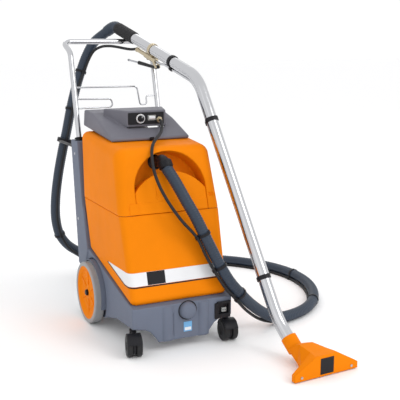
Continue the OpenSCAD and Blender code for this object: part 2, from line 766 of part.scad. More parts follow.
module push_handle() {
    bar_half = handle_half_w - 34;
    color(CHROME) row() {
        both_sides() bent_tube(
            [upright_point(475), upright_point(908), [handle_half_w + 8, bar_y, bar_z],
             [bar_half - 4, bar_y, bar_z]], [0, 45, 28, 0], handle_r - 0.05, handle_r - tube_wall);
        translate([-bar_half, bar_y, bar_z]) rotate([0, 90, 0]) cylinder(r = handle_r, h = 2 * bar_half);
    }
}

module handle_bushes() {
    top = upright_point(column_top_z + 11);
    low = upright_point(column_top_z - 22);
    color(BLACK) row() both_sides() difference() {
        union() {
            rod(low, top, handle_r + 3);
            rod(upright_point(column_top_z + 5), upright_point(column_top_z + 9), handle_r + 6.5);
        }
        rod(low + (low - top), top + (top - low), handle_r);
    }
}

function upright_point(z, side = 1) = [side * handle_half_w, 343 + (z - 610) * 0.2545, z];
wire_r = 3;
module wire_rack() {
    left = -handle_half_w + handle_r;
    right = handle_half_w - handle_r;
    color(CHROME) row() {
        bent_tube([[left, upright_point(786)[1], 786], [76, 374, 786], [87, 372, 720], [113, 372, 720],
                   [113, 378, 751], [right, upright_point(751)[1], 751]], [0, 14, 9, 9, 9, 0], wire_r);
        bent_tube([[left, upright_point(746)[1], 746], [-24, 372, 744], [-16, 371, 715],
                   [left, upright_point(714)[1], 714]], [0, 12, 12, 0], wire_r);
    }
}

hook_at = [-127, 615, 572];
hook_dir = unit([22, -1, 85]);
module hose_hook() {
    color(BLACK) row() {
        bent_tube([[-160, 380, 578], [-160, 540, 578], hook_at + [-24.4, -14.7, 0]], [0, 60, 0], 5);
        translate([-172, 379.3, 568]) cube([24, 4.7, 20]);
        rod(hook_at - hook_dir * 8, hook_at + hook_dir * 8, hose_r + 11.5, hose_r + 8);
    }
}

// ---- wand ---------------------------------------------------------------------------------

wand_rate = 0.33;                // rise of the upper stretch per unit of plan length
knee = [508.2, 831.1];           // plan length and height of the wand's upper bend
function wand_up(a) = knee[1] + wand_rate * (a - knee[0]);
wand_axis = unit(wand_at(1, wand_rate) - wand_at(0, 0));
wand_below = unit(wand_at(wand_rate, -1) - wand_at(0, 0));
wand_route = [wand_at(30, 46), wand_at(100, 109), wand_at(knee[0], knee[1]),
              wand_at(1000, wand_up(1000))];
wand_bends = [0, 250, 120, 0];
line_drop = 25.5;
cuff_r = 21.8;

// A point at plan length a on the wand's upper stretch, stepped down square to it.
function under_wand(a, drop = 0) = wand_at(a, wand_up(a)) + wand_below * drop;

module wand_tube() {
    color(CHROME) row() bent_tube(wand_route, wand_bends, wand_r, wand_r - tube_wall);
}

// The rigid line runs below the wand: the same corners, moved square to each straight.
line_low = atan2(109 - 46, 100 - 30);
line_start = wand_at(30 + line_drop * sin(line_low) + 6, 46 - line_drop * cos(line_low) + 5);
line_dir = unit(wand_at(70, 63) - wand_at(0, 0));
module solution_line() {
    rise = atan2(knee[1] - 109, knee[0] - 100);
    half1 = (rise + line_low) / 2;
    half2 = (rise + atan(wand_rate)) / 2;
    step1 = line_drop / cos((rise - line_low) / 2);
    step2 = line_drop / cos((rise - atan(wand_rate)) / 2);
    color(CHROME) row() bent_tube([
        line_start,
        wand_at(100 + step1 * sin(half1), 109 - step1 * cos(half1)),
        wand_at(knee[0] + step2 * sin(half2), knee[1] - step2 * cos(half2)),
        under_wand(690, line_drop), under_wand(715, valve_drop), under_wand(739.5, valve_drop)],
        [0, 240, 94, 30, 30, 0], 4.5, 3);
}

function straight_at(t) = wand_at(100 + (knee[0] - 100) * t, 109 + (knee[1] - 109) * t);
straight_dir = unit(straight_at(1) - straight_at(0));
straight_below = unit(wand_at(knee[1] - 109, 100 - knee[0]) - wand_at(0, 0));
module clip(p, axis, below) difference() {
    union() {
        rod(p - axis * 7, p + axis * 7, wand_r + 3);
        rod(p + below * line_drop - axis * 7, p + below * line_drop + axis * 7, 8);
    }
    rod(p - axis * 8, p + axis * 8, wand_r + 0.1);
    rod(p + below * line_drop - axis * 8, p + below * line_drop + axis * 8, 4.6);
}

module wand_clips() {
    color(BLACK) row() {
        clip(straight_at(0.164), straight_dir, straight_below);
        clip(straight_at(0.8125), straight_dir, straight_below);
        clip(under_wand(650), wand_axis, wand_below);
    }
}

module grip_cuff() {
    a = under_wand(885);
    b = under_wand(999.5);
    color(BLACK) row() difference() {
        union() {
            rod(a, b, cuff_r);
            for (k = [0 : 11]) rod(a + wand_axis * (12 + k * 8), a + wand_axis * (16 + k * 8), cuff_r + 0.5);
        }
        rod(a - wand_axis, b + wand_axis, wand_r + 0.1);
    }
}

cuff_start = under_wand(1000.5);
cuff_corner = cuff_start + wand_axis * 26;
module hose_cuff() {
    cuff_end = last_hose_point + unit(cuff_corner - last_hose_point) * 2.6;
    color(HOSE) row() {
        bent_tube([cuff_start, cuff_corner, cuff_end], [0, 35, 0], cuff_r - 0.5, 16);
    }
}

valve_drop = 32;
module spray_valve() {
    color(BRASS) row() {
        union() {
            rod(under_wand(740, valve_drop), under_wand(806, valve_drop), 10);
            rod(under_wand(802, valve_drop), under_wand(863, valve_drop), 7.5);
            rod(under_wand(770, wand_r + 1.5), under_wand(770, valve_drop), 5.2);
            rod(under_wand(788, valve_drop), under_wand(788, valve_drop + 12), 5);
        }
        clamp_ring();
        pivot_ears();
        rod(pivot - lever_side * 8, pivot + lever_side * 8, 3);
    }
}

module clamp_ring() rod(under_wand(764), under_wand(776), wand_r + 2.8, wand_r + 0.1);

lever_side = unit(wand_at(0, 0, 1) - wand_at(0, 0, 0));
pivot = under_wand(727, valve_drop + 16);
module pivot_ears() for (s = [-1, 1])
    hull() {
        rod(pivot + lever_side * s * 6, pivot + lever_side * s * 9, 5.5, 0);
        rod(under_wand(750, valve_drop) + lever_side * s * 6, under_wand(750, valve_drop) + lever_side * s * 9, 4.6, 0);
    }

// The lever rises less than the wand, so it opens away from the wand towards its free end.
lever_dir = unit(wand_at(1, 0.12) - wand_at(0, 0));
lever_down = unit(wand_at(0.12, -1) - wand_at(0, 0));
module valve_lever() {
    tip = pivot + lever_dir * 118 + lever_down * 2;
    color(BLACK) row() {
        difference() {
            union() {
                rod(pivot - lever_side * 5.5, pivot + lever_side * 5.5, 6.5);
                hull() {
                    rod(pivot + lever_dir * 6 + lever_down * 4, pivot + lever_dir * 7 + lever_down * 4, 5.2);
                    rod(tip, tip + lever_dir, 7);
                }
            }
            rod(pivot - lever_side * 12, pivot + lever_side * 12, 3 + run_gap);
        }
        rod(tip, tip + lever_dir * 68, 3.2);
        translate(tip + lever_dir * 68) sphere(r = 4.2);
    }
}

// ---- floor tool ---------------------------------------------------------------------------

tool_at = [280, -571, 0];
module on_tool() translate(tool_at) rotate([0, 0, tool_yaw]) children();
end_h = 23;
top_half = 38;
hood_lift = 3;

// Front outline of the tool's hood, shrunk by in.
module hood_outline(in = 0) polygon([
    [-tool_w / 2 + in, hood_lift], [tool_w / 2 - in, hood_lift], [tool_w / 2 - in, end_h - in * 0.5],
    [top_half, tool_h - in], [-top_half, tool_h - in], [-tool_w / 2 + in, end_h - in * 0.5]]);

module tool_slice(y, thick, half_low, half_top, low, high) translate([0, y + thick, 0]) rotate([90, 0, 0])
    linear_extrude(thick) polygon([[-half_low, low], [half_low, low], [half_low, low + 14],
                                   [half_top, high], [-half_top, high], [-half_low, low + 14]]);

module hood_body(in = 0) {
    hull() {
        backward(3.2 + in, 16) hood_outline(in);
        tool_slice(36, 1, 62 - in, 33 - in * 0.6, hood_lift, tool_h - in);
    }
    hull() {
        tool_slice(36, 1, 62 - in, 33 - in * 0.6, hood_lift, tool_h - in);
        translate([-7, 0, 0]) tool_slice(92, 1, 30 - in, 24 - in, 12 + in, tool_h + 4 - in);
    }
    hull() {
        translate([-7, 0, 0]) tool_slice(92, 1, 30 - in, 24 - in, 12 + in, tool_h + 4 - in);
        translate([-13, 128, 43]) rotate([-48, 0, 0]) cylinder(r = 25 - in, h = 4, $fn = 32);
    }
}

module tool_hood() {
    color(ORANGE) row() difference() {
        union() {
            on_tool() hood_body();
            rod(wand_at(17, 34.3), wand_at(52, 65.8), 24.5);
        }
        on_tool() hood_body(3);
        rod(wand_at(8, 26.2), wand_at(60, 73), wand_r + 0.1);
        rod(line_start - line_dir * 6, line_start + line_dir * 42, 5);
        on_tool() translate([-tool_w, -10, -10]) cube([2 * tool_w, 13.2, 200]);
    }
}

module tool_front_plate() {
    color(ORANGE) row() on_tool() backward(0, 3) hood_outline();
}

module suction_lip() {
    color(BLACK) row() on_tool() difference() {
        union() {
            translate([-tool_w / 2 + 4, 6.5, 0]) cube([tool_w - 8, 9, 9]);
        }
        translate([-tool_w / 2 + 9, 9, -1]) cube([tool_w - 18, 4, 12]);
    }
}

module spray_nozzle() {
    color(BRASS) row() on_tool() {
        translate([-7, 70, 22]) cylinder(r = 6, h = 26);
        translate([-7, 70, 18]) cylinder(r1 = 3, r2 = 6, h = 4, $fn = 48);
    }
}

// ---- free hoses ---------------------------------------------------------------------------

// Route of the vacuum hose, from the elbow on the tank to the cuff on the wand.
vacuum_route = [
    [-10, -90, 559], [8, -120, 516], [30, -144, 464], [56, -158, 412], [82, -169, 354],
    [107, -179, 298], [130, -190, 248], [158, -199, 198], [200, -192, 150], [252, -174, 100],
    [314, -158, 54], [370, -146, 28], [440, -128, 21], [520, -92, 21], [595, -25, 21],
    [655, 65, 21], [695, 170, 21], [707, 285, 21], [685, 400, 21], [636, 500, 21],
    [565, 585, 21], [475, 652, 21], [370, 694, 21], [260, 715, 21], [155, 718, 22],
    [60, 706, 36], [-12, 690, 72], [-76, 671, 116], [-118, 662, 149], [-150, 656, 196],
    [-165, 650, 262], [-166, 640, 340], [-156, 628, 435], [-139, 621, 525], [-118, 620, 610],
    [-98, 624, 692], [-74, 630, 770], [-50, 637, 832], [-27, 637, 888], [-1, 620, 940],
    [37, 577, 981]];
last_hose_point = vacuum_route[len(vacuum_route) - 1];

// Side of the vacuum hose on which the solution hose is strapped, at each point from point 4 on.
strap_side = concat(
    [[-0.9, 0, -0.42], [-0.9, 0, -0.42], [-0.88, -0.1, -0.45], [-0.75, -0.25, -0.6],
     [-0.6, -0.3, -0.72], [-0.55, -0.05, -0.83], [-0.42, 0.3, -0.85], [-0.25, 0.6, -0.74]],
    [for (k = [12 : 24]) floor_side(k)],
    [[-0.15, -0.8, -0.6], [-0.3, -0.85, -0.45], [-0.2, -0.93, -0.3], [-0.15, -0.97, -0.2]],
    [for (k = [29 : 36]) [0, -1, 0]],
    [[0.05, -0.95, -0.3], [0.05, -0.85, -0.5], [0.05, -0.66, -0.75], [0.06, -0.42, -0.9]]);

// On the floor the thin hose lies on the inside of the loop and touches the ground.
function floor_side(k) = let (t = unit(vacuum_route[k + 1] - vacuum_route[k - 1]))
    [-t[1] * 0.785, t[0] * 0.785, -0.62];

strap_gap = 1.5;
function strapped(k) = vacuum_route[k] +
    square_to(tangent(vacuum_route, k), strap_side[k - 4]) * (hose_r + thin_r + strap_gap);
solution_route = concat(
    [[52, 101, 688.5], [49.5, 85, 679], [41, 64, 665], [24, 37, 653], [-4, 2, 642], [-32, -34, 627],
     [-50, -68, 603], [-58, -96, 571], [-57, -119, 535], [-46, -136, 497], [-26, -149, 456],
     [8, -161, 404]],
    [for (k = [4 : 38]) strapped(k)],
    [[-6, 603, 910], [14, 577, 925], [34, 543, 928], [52, 507, 925], [67, 471, 920], [79, 436, 917],
     under_wand(865, valve_drop)]);

module vacuum_hose() { color(HOSE) row() swept_tube(vacuum_route, hose_r, 12); }
module solution_hose() { color(BLACK) row() swept_tube(solution_route, thin_r, 8); }

band_points = [4, 6, 8, 14, 17, 29, 35, 37];
module hose_bands() {
    color(BLACK) row() for (k = band_points) {
        t = tangent(vacuum_route, k);
        p = vacuum_route[k];
        q = strapped(k);
        difference() {
            union() {
                rod(p - t * 4.5, p + t * 4.5, hose_r + 2.4);
                rod(q - t * 4.5, q + t * 4.5, thin_r + 2.4);
            }
            rod(p - t * 8, p + t * 8, hose_r + 1);
            rod(q - t * 8, q + t * 8, thin_r + 1);
            translate([0, 0, -200]) translate([p[0], p[1], 0]) cylinder(r = 90, h = 200.2);
        }
    }
}

// ---- fasteners ----------------------------------------------------------------------------

module case_screws() {
    color(STEEL) row() {
        for (x = [-125, 125], z = [200, 560]) {
            y = z < 300 ? 341 : 375;
            translate([x, y - 12, z]) rotate([-90, 0, 0]) cylinder(r = 2.5, h = 12);
            translate([x, y - 1.2, z]) rotate([-90, 0, 0]) cylinder(r = 5, h = 3);
        }
        on_tool() for (x = [-90, 90]) translate([x, -1.6, 14]) rotate([-90, 0, 0]) cylinder(r = 4, h = 1.6);
    }
}

chassis_shell();
back_panel();
floor_pan();
wheel_axle();
axle_caps();
solution_tank();
stripe_band();
badge_plate();
recovery_tank();
filler_cover();
head_cover();
head_base();
head_gasket();
control_panel();
dial_ring();
solution_coupling();
inlet_elbow();
inlet_pipe();
vacuum_motor();
float_cage();
pump();
internal_hoses();
solution_filter();
drain_valve();
accessory_socket();
label_plate();
push_handle();
handle_bushes();
wire_rack();
hose_hook();
wand_tube();
solution_line();
wand_clips();
grip_cuff();
hose_cuff();
spray_valve();
tool_hood();
tool_front_plate();
suction_lip();
spray_nozzle();
vacuum_hose();
solution_hose();
hose_bands();
case_screws();
latch_pin();
tyre_left();
tyre_right();
wheel_disc_left();
wheel_disc_right();
castor_fork_left();
castor_fork_right();
castor_wheels_left();
castor_wheels_right();
dial_knob();
rocker_switch();
valve_lever();
drain_knob();
float_ball();
motor_rotor();
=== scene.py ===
"""Looks of the spot extractor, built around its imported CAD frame. Lengths in the tables are mm in
the machine's own frame, as in part.scad; at() turns them into the row's metres."""
import json
import math

import bmesh
import bpy
import numpy as np
from mathutils import Matrix, Vector


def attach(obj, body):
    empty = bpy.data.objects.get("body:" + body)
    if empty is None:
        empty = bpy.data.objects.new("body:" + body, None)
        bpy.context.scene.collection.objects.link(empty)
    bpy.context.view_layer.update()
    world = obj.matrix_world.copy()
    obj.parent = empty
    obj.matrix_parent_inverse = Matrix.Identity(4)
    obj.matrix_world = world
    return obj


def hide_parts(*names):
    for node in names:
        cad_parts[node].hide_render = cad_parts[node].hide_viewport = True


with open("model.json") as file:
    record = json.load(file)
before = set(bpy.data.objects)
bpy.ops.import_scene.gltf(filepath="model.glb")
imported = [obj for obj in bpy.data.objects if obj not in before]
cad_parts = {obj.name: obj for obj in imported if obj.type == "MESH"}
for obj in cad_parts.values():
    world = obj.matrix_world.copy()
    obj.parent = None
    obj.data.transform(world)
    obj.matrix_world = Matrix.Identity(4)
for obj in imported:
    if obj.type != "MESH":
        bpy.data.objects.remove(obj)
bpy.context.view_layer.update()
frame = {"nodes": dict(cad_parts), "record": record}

MM = 0.001
CENTRE_X, CENTRE_Y = 95.0, 33.0
NODES = frame["nodes"]
RECORD = frame["record"]
BODY_OF = {n: b for b, ns in RECORD["behaviour"]["bodies"].items() for n in ns}
SLOT_OF = {s["node"]: s["material_slot"] for s in RECORD["subparts"]}


def at(x, y, z):
    return Vector(((x - CENTRE_X) * MM, (y - CENTRE_Y) * MM, z * MM))


# ---- camera -----------------------------------------------------------------------------------

CAMERA_AZIMUTH, CAMERA_ELEVATION = math.radians(-25.836), math.radians(11.379)
CAMERA_PLACE = (-992, -2358, 954)
SENSOR_WIDTH, LENS = 36, 72


def make_camera():
    azimuth, elevation = CAMERA_AZIMUTH, CAMERA_ELEVATION
    back = Vector((math.sin(azimuth) * math.cos(elevation),
                   -math.cos(azimuth) * math.cos(elevation), math.sin(elevation)))
    right = Vector((math.cos(azimuth), math.sin(azimuth), 0))
    up = back.cross(right)
    data = bpy.data.cameras.new("view_camera")
    data.sensor_width = SENSOR_WIDTH
    data.lens = LENS
    camera = bpy.data.objects.new("view_camera", data)
    bpy.context.scene.collection.objects.link(camera)
    place = Matrix((right, up, back)).transposed().to_4x4()
    place.translation = at(*CAMERA_PLACE)
    camera.matrix_world = place
    bpy.context.scene.camera = camera


make_camera()

# ---- materials --------------------------------------------------------------------------------

DRIFT_SCALE, DRIFT_DETAIL = 9.0, 4.0      # slow drift of the base colour
PATCH_SCALE, PATCH_DETAIL = 26.0, 5.0     # patches of rougher and smoother surface
GRAIN_DETAIL, GRAIN_DEPTH = 3.0, 0.001
DARK_SHARE = 2.2                          # how much further the colour drifts down than up
LEAST_ROUGH = 0.02


def material(name, colour, rough, metal=0.0, mottle=0.05, grain=500.0, bump=0.03,
             rough_spread=0.08, specular=0.3):
    """A procedural finish: a base colour that drifts a little, patchy roughness, a fine grain."""
    m = bpy.data.materials.new(name)
    m.use_nodes = True
    tree = m.node_tree
    nodes, links = tree.nodes, tree.links
    bsdf = nodes["Principled BSDF"]
    bsdf.inputs["Metallic"].default_value = metal
    bsdf.inputs["Specular IOR Level"].default_value = specular
    place = nodes.new("ShaderNodeTexCoord")
    drift = nodes.new("ShaderNodeTexNoise")
    drift.inputs["Scale"].default_value = DRIFT_SCALE
    drift.inputs["Detail"].default_value = DRIFT_DETAIL
    links.new(place.outputs["Object"], drift.inputs["Vector"])
    ramp = nodes.new("ShaderNodeMix")
    ramp.data_type = "RGBA"
    dark = [c * (1 - DARK_SHARE * mottle) for c in colour]
    light = [min(1, c * (1 + mottle)) for c in colour]
    ramp.inputs["A"].default_value = (*dark, 1)
    ramp.inputs["B"].default_value = (*light, 1)
    links.new(drift.outputs["Fac"], ramp.inputs["Factor"])
    links.new(ramp.outputs["Result"], bsdf.inputs["Base Color"])
    patch = nodes.new("ShaderNodeTexNoise")
    patch.inputs["Scale"].default_value = PATCH_SCALE
    patch.inputs["Detail"].default_value = PATCH_DETAIL
    links.new(place.outputs["Object"], patch.inputs["Vector"])
    spread = nodes.new("ShaderNodeMapRange")
    spread.inputs["To Min"].default_value = max(LEAST_ROUGH, rough - rough_spread)
    spread.inputs["To Max"].default_value = min(1, rough + rough_spread)
    links.new(patch.outputs["Fac"], spread.inputs["Value"])
    links.new(spread.outputs["Result"], bsdf.inputs["Roughness"])
    if bump > 0:
        fine = nodes.new("ShaderNodeTexNoise")
        fine.inputs["Scale"].default_value = grain
        fine.inputs["Detail"].default_value = GRAIN_DETAIL
        links.new(place.outputs["Object"], fine.inputs["Vector"])
        relief = nodes.new("ShaderNodeBump")
        relief.inputs["Strength"].default_value = bump
        relief.inputs["Distance"].default_value = GRAIN_DEPTH
        links.new(fine.outputs["Fac"], relief.inputs["Height"])
        links.new(relief.outputs["Normal"], bsdf.inputs["Normal"])
    return m


FINISH = {
    "orange": material("orange_shell", (0.84, 0.225, 0.002), 0.55, bump=0.10, grain=420,
                       specular=0.05),
    "slate": material("slate_shell", (0.150, 0.172, 0.228), 0.55, bump=0.22, grain=700,
                      specular=0.12),
    "grey": material("grey_shell", (0.165, 0.163, 0.192), 0.5, bump=0.22, grain=700,
                     specular=0.15),
    "black": material("black_plastic", (0.009, 0.009, 0.012), 0.42, bump=0.10, grain=600,
                      specular=0.25),
    "light_grey": material("light_grey_plastic", (0.42, 0.43, 0.42), 0.5, bump=0.08),
    "white": material("white_print", (0.80, 0.81, 0.83), 0.45, bump=0.02),
    "sky": material("blue_print", (0.17, 0.42, 0.72), 0.45, bump=0.02),
    "rubber": material("black_rubber", (0.016, 0.016, 0.018), 0.55, bump=0.12, grain=900),
    "hose": material("hose_rubber", (0.028, 0.042, 0.066), 0.42, bump=0.10, grain=900,
                     specular=0.35),
    "tyre": material("tyre_rubber", (0.34, 0.35, 0.36), 0.62, bump=0.15, grain=700,
                     specular=0.2),
    "tyre_black": material("castor_rubber", (0.014, 0.014, 0.015), 0.45, bump=0.12, grain=700),
    "chrome": material("chromed_tube", (0.56, 0.565, 0.585), 0.13, metal=1.0, mottle=0.02,
                       rough_spread=0.05, bump=0.015, grain=260),
    "pan_steel": material("plated_steel", (0.50, 0.51, 0.54), 0.34, metal=1.0, bump=0.05),
    "brass": material("dull_brass", (0.56, 0.48, 0.34), 0.30, metal=1.0, bump=0.04),
}

for node_name, node_object in NODES.items():
    node_object.data.materials.clear()
    node_object.data.materials.append(FINISH[SLOT_OF[node_name]])

# ---- mesh helpers -----------------------------------------------------------------------------

def new_object(name, mesh, finish, body, smooth=True, replaces=()):
    piece = bpy.data.objects.new(name, mesh)
    bpy.context.scene.collection.objects.link(piece)
    mesh.materials.clear()
    mesh.materials.append(FINISH[finish])
    if smooth:
        mesh.shade_smooth()
    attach(piece, body)
    if replaces:
        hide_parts(*replaces)
    return piece


def from_lists(name, points, faces):
    mesh = bpy.data.meshes.new(name)
    mesh.from_pydata([tuple(p) for p in points], [], faces)
    mesh.update()
    return mesh


def sharpen(mesh, degrees=35):
    mesh.shade_smooth()
    mesh.set_sharp_from_angle(angle=math.radians(degrees))


def applied(mesh, *steps):
    """The mesh after a list of modifiers, each a type and its settings."""
    holder = bpy.data.objects.new("holder", mesh)
    bpy.context.scene.collection.objects.link(holder)
    for kind, settings in steps:
        m = holder.modifiers.new(kind.lower(), kind)
        for key, value in settings.items():
            setattr(m, key, value)
    graph = bpy.context.evaluated_depsgraph_get()
    graph.update()
    result = bpy.data.meshes.new_from_object(holder.evaluated_get(graph))
    bpy.data.objects.remove(holder)
    return result


def cut(mesh, tool_mesh, operation="DIFFERENCE"):
    tool = bpy.data.objects.new("tool", tool_mesh)
    bpy.context.scene.collection.objects.link(tool)
    result = applied(mesh, ("BOOLEAN", {"operation": operation, "object": tool, "solver": "EXACT"}))
    bpy.data.objects.remove(tool)
    return result


def softened(mesh, voxel, rounds, keep):
    """Rounds a moulding's edges: voxel remesh, relax, then thin out the vertices."""
    return applied(
        mesh,
        ("REMESH", {"mode": "VOXEL", "voxel_size": voxel, "adaptivity": 0.0}),
        ("SMOOTH", {"factor": 0.5, "iterations": rounds}),
        ("DECIMATE", {"decimate_type": "COLLAPSE", "ratio": keep}))


def soft_node(node, voxel, rounds, keep):
    mesh = softened(NODES[node].data.copy(), voxel, rounds, keep)
    new_object(node + "_skin", mesh, SLOT_OF[node], BODY_OF[node], replaces=[node])


def ball_hull(balls, grow=0.0, rings=24):
    """The skin round a set of balls, each (x, y, z, r) in mm."""
    b = bmesh.new()
    for x, y, z, r in balls:
        for i in range(rings + 1):
            pitch = math.pi * i / rings - math.pi / 2
            count = 1 if i in (0, rings) else 2 * rings
            for j in range(count):
                turn = math.tau * j / count
                rr = (r + grow) * math.cos(pitch)
                b.verts.new(at(x + rr * math.cos(turn), y + rr * math.sin(turn),
                               z + (r + grow) * math.sin(pitch)))
    done = bmesh.ops.convex_hull(b, input=b.verts)
    spare = [v for v in done["geom_interior"] if isinstance(v, bmesh.types.BMVert)]
    bmesh.ops.delete(b, geom=spare, context="VERTS")
    loose = [v for v in b.verts if not v.link_faces]
    bmesh.ops.delete(b, geom=loose, context="VERTS")
    bmesh.ops.recalc_face_normals(b, faces=b.faces)
    mesh = bpy.data.meshes.new("hull")
    b.to_mesh(mesh)
    b.free()
    return mesh


def halved(mesh, point, normal):
    """Keeps what lies behind the plane and closes the cut."""
    b = bmesh.new()
    b.from_mesh(mesh)
    found = bmesh.ops.bisect_plane(b, geom=b.verts[:] + b.edges[:] + b.faces[:],
                                   plane_co=at(*point), plane_no=Vector(normal), clear_outer=True)
    edges = [e for e in found["geom_cut"] if isinstance(e, bmesh.types.BMEdge)]
    bmesh.ops.holes_fill(b, edges=edges, sides=0)
    bmesh.ops.recalc_face_normals(b, faces=b.faces)
    b.to_mesh(mesh)
    b.free()
    return mesh


def prism(outline, place, depth0, depth1):
    """An outline of (u, v) pairs run from depth0 to depth1; place(u, v, depth) gives the point."""
    n = len(outline)
    points = [place(u, v, depth0) for u, v in outline] + [place(u, v, depth1) for u, v in outline]
    faces = [tuple(range(n)), tuple(range(2 * n - 1, n - 1, -1))]
    faces += [(i, i + n, (i + 1) % n + n, (i + 1) % n) for i in range(n)]
    mesh = from_lists("prism", points, faces)
    b = bmesh.new()
    b.from_mesh(mesh)
    bmesh.ops.recalc_face_normals(b, faces=b.faces)
    b.to_mesh(mesh)
    b.free()
    return mesh


def block(x0, y0, z0, x1, y1, z1):
    return prism([(x0, y0), (x1, y0), (x1, y1), (x0, y1)], at, z0, z1)


def bevelled(mesh, width, segments=3, degrees=30):
    return applied(mesh, ("BEVEL", {"width": width, "segments": segments, "limit_method": "ANGLE",
                                    "angle_limit": math.radians(degrees)}))


def lathe(profile, origin, axis, segments=96, close=False):
    """Turns (radius, height) pairs in mm about an axis through origin, a point in metres."""
    axis = Vector(axis).normalized()
    side = axis.orthogonal().normalized()
    other = axis.cross(side)
    points, faces = [], []
    n = len(profile)
    for i in range(segments):
        a = math.tau * i / segments
        out = side * math.cos(a) + other * math.sin(a)
        points += [origin + axis * (h * MM) + out * (r * MM) for r, h in profile]
    for i in range(segments):
        k = (i + 1) % segments
        for j in range(n if close else n - 1):
            m = (j + 1) % n
            faces.append((i * n + j, i * n + m, k * n + m, k * n + j))
    mesh = from_lists("lathe", points, faces)
    b = bmesh.new()
    b.from_mesh(mesh)
    bmesh.ops.remove_doubles(b, verts=b.verts, dist=1e-6)
    bmesh.ops.recalc_face_normals(b, faces=b.faces)
    b.to_mesh(mesh)
    b.free()
    sharpen(mesh, 40)
    return mesh


CURVE_PARTS = 24      # straight pieces between two points of a route


def curve_through(points, step):
    """Even steps along a centripetal Catmull-Rom curve through points in metres."""
    p = [np.array(q, float) for q in points]
    p = [2 * p[0] - p[1]] + p + [2 * p[-1] - p[-2]]
    fine = []
    for k in range(1, len(p) - 2):
        a, b, c, d = p[k - 1:k + 3]
        t = [0.0]
        for u, v in ((a, b), (b, c), (c, d)):
            t.append(t[-1] + math.sqrt(np.linalg.norm(v - u)))
        for i in range(CURVE_PARTS):
            x = t[1] + (t[2] - t[1]) * i / CURVE_PARTS
            ab = a * (t[1] - x) / (t[1] - t[0]) + b * (x - t[0]) / (t[1] - t[0])
            bc = b * (t[2] - x) / (t[2] - t[1]) + c * (x - t[1]) / (t[2] - t[1])
            cd = c * (t[3] - x) / (t[3] - t[2]) + d * (x - t[2]) / (t[3] - t[2])
            abc = ab * (t[2] - x) / (t[2] - t[0]) + bc * (x - t[0]) / (t[2] - t[0])
            bcd = bc * (t[3] - x) / (t[3] - t[1]) + cd * (x - t[1]) / (t[3] - t[1])
            fine.append(abc * (t[2] - x) / (t[2] - t[1]) + bcd * (x - t[1]) / (t[2] - t[1]))
    fine.append(p[-2])
    return evenly(fine, step)


def evenly(path, step):
    """The same path with its points at even steps."""
    path = np.array([list(q) for q in path], float)
    run = np.concatenate([[0], np.cumsum(np.linalg.norm(np.diff(path, axis=0), axis=1))])
    wanted = np.linspace(0, run[-1], max(2, int(round(run[-1] / step)) + 1))
    return np.stack([np.interp(wanted, run, path[:, i]) for i in range(3)], axis=1)


def bent_path(route, bends, step=5.0):
    """A route of corners in metres with its bends rounded; the radii are in mm."""
    route = [Vector(p) for p in route]
    path = [route[0]]
    for k in range(1, len(route) - 1):
        u = (route[k] - route[k - 1]).normalized()
        v = (route[k + 1] - route[k]).normalized()
        turn = u.angle(v)
        r = bends[k] * MM
        start = route[k] - u * r * math.tan(turn / 2)
        centre = route[k] + (v - u).normalized() * r / math.cos(turn / 2)
        x = (start - centre).normalized()
        n = max(3, math.ceil(math.degrees(turn) / step))
        path += [centre + (x * math.cos(turn * i / n) + u * math.sin(turn * i / n)) * r
                 for i in range(n + 1)]
    path.append(route[-1])
    return np.array([list(p) for p in path])


ANY_SIDE = (0.13, 0.31, 0.94)      # a direction that no tube starts along


def swept(path, radii, sides, inner=None):
    """A tube along a path; radii is one radius in mm or one for each point."""
    path = np.array(path, float)
    n = len(path)
    radii = np.full(n, radii, float) * MM if np.isscalar(radii) else np.array(radii, float) * MM
    step = np.diff(path, axis=0)
    step /= np.linalg.norm(step, axis=1)[:, None]
    t = np.vstack([step[:1], step[1:] + step[:-1], step[-1:]])
    t /= np.linalg.norm(t, axis=1)[:, None]
    u = np.cross(t[0], ANY_SIDE)
    u /= np.linalg.norm(u)
    points = []
    angle = np.arange(sides) * math.tau / sides

    def rings(scale):
        side = u
        for k in range(n):
            side = side - t[k] * np.dot(side, t[k])
            side = side / np.linalg.norm(side)
            other = np.cross(t[k], side)
            points.extend(path[k] + (side * math.cos(a) + other * math.sin(a)) * scale[k]
                          for a in angle)

    rings(radii)
    faces = [(k * sides + j, k * sides + (j + 1) % sides, (k + 1) * sides + (j + 1) % sides,
              (k + 1) * sides + j) for k in range(n - 1) for j in range(sides)]
    if inner is None:
        faces.append(tuple(range(sides - 1, -1, -1)))
        faces.append(tuple((n - 1) * sides + j for j in range(sides)))
    else:
        base = n * sides
        rings(np.full(n, inner * MM))
        faces += [(base + (k + 1) * sides + j, base + (k + 1) * sides + (j + 1) % sides,
                   base + k * sides + (j + 1) % sides, base + k * sides + j)
                  for k in range(n - 1) for j in range(sides)]
        for first, flip in ((0, False), ((n - 1) * sides, True)):
            for j in range(sides):
                i = (j + 1) % sides
                quad = (first + i, first + j, base + first + j, base + first + i)
                faces.append(quad[::-1] if flip else quad)
    mesh = from_lists("tube", points, faces)
    b = bmesh.new()
    b.from_mesh(mesh)
    bmesh.ops.recalc_face_normals(b, faces=b.faces)
    b.to_mesh(mesh)
    b.free()
    sharpen(mesh, 50)
    return mesh


def joined(meshes):
    b = bmesh.new()
    for mesh in meshes:
        b.from_mesh(mesh)
    whole = bpy.data.meshes.new("joined")
    b.to_mesh(whole)
    b.free()
    sharpen(whole, 40)
    return whole


def unit(v):
    return Vector(v).normalized()


# ---- shared places, as in part.scad -----------------------------------------------------------

LEAN = math.radians(15.6)
SEAM = 420.0
TANK_FRONT, TANK_LOW = -181, 151
CHASSIS_FRONT = -190
AXLE_Y, WHEEL_R = 168, 105


def face_y(z):
    return TANK_FRONT + (z - TANK_LOW) * math.tan(LEAN)


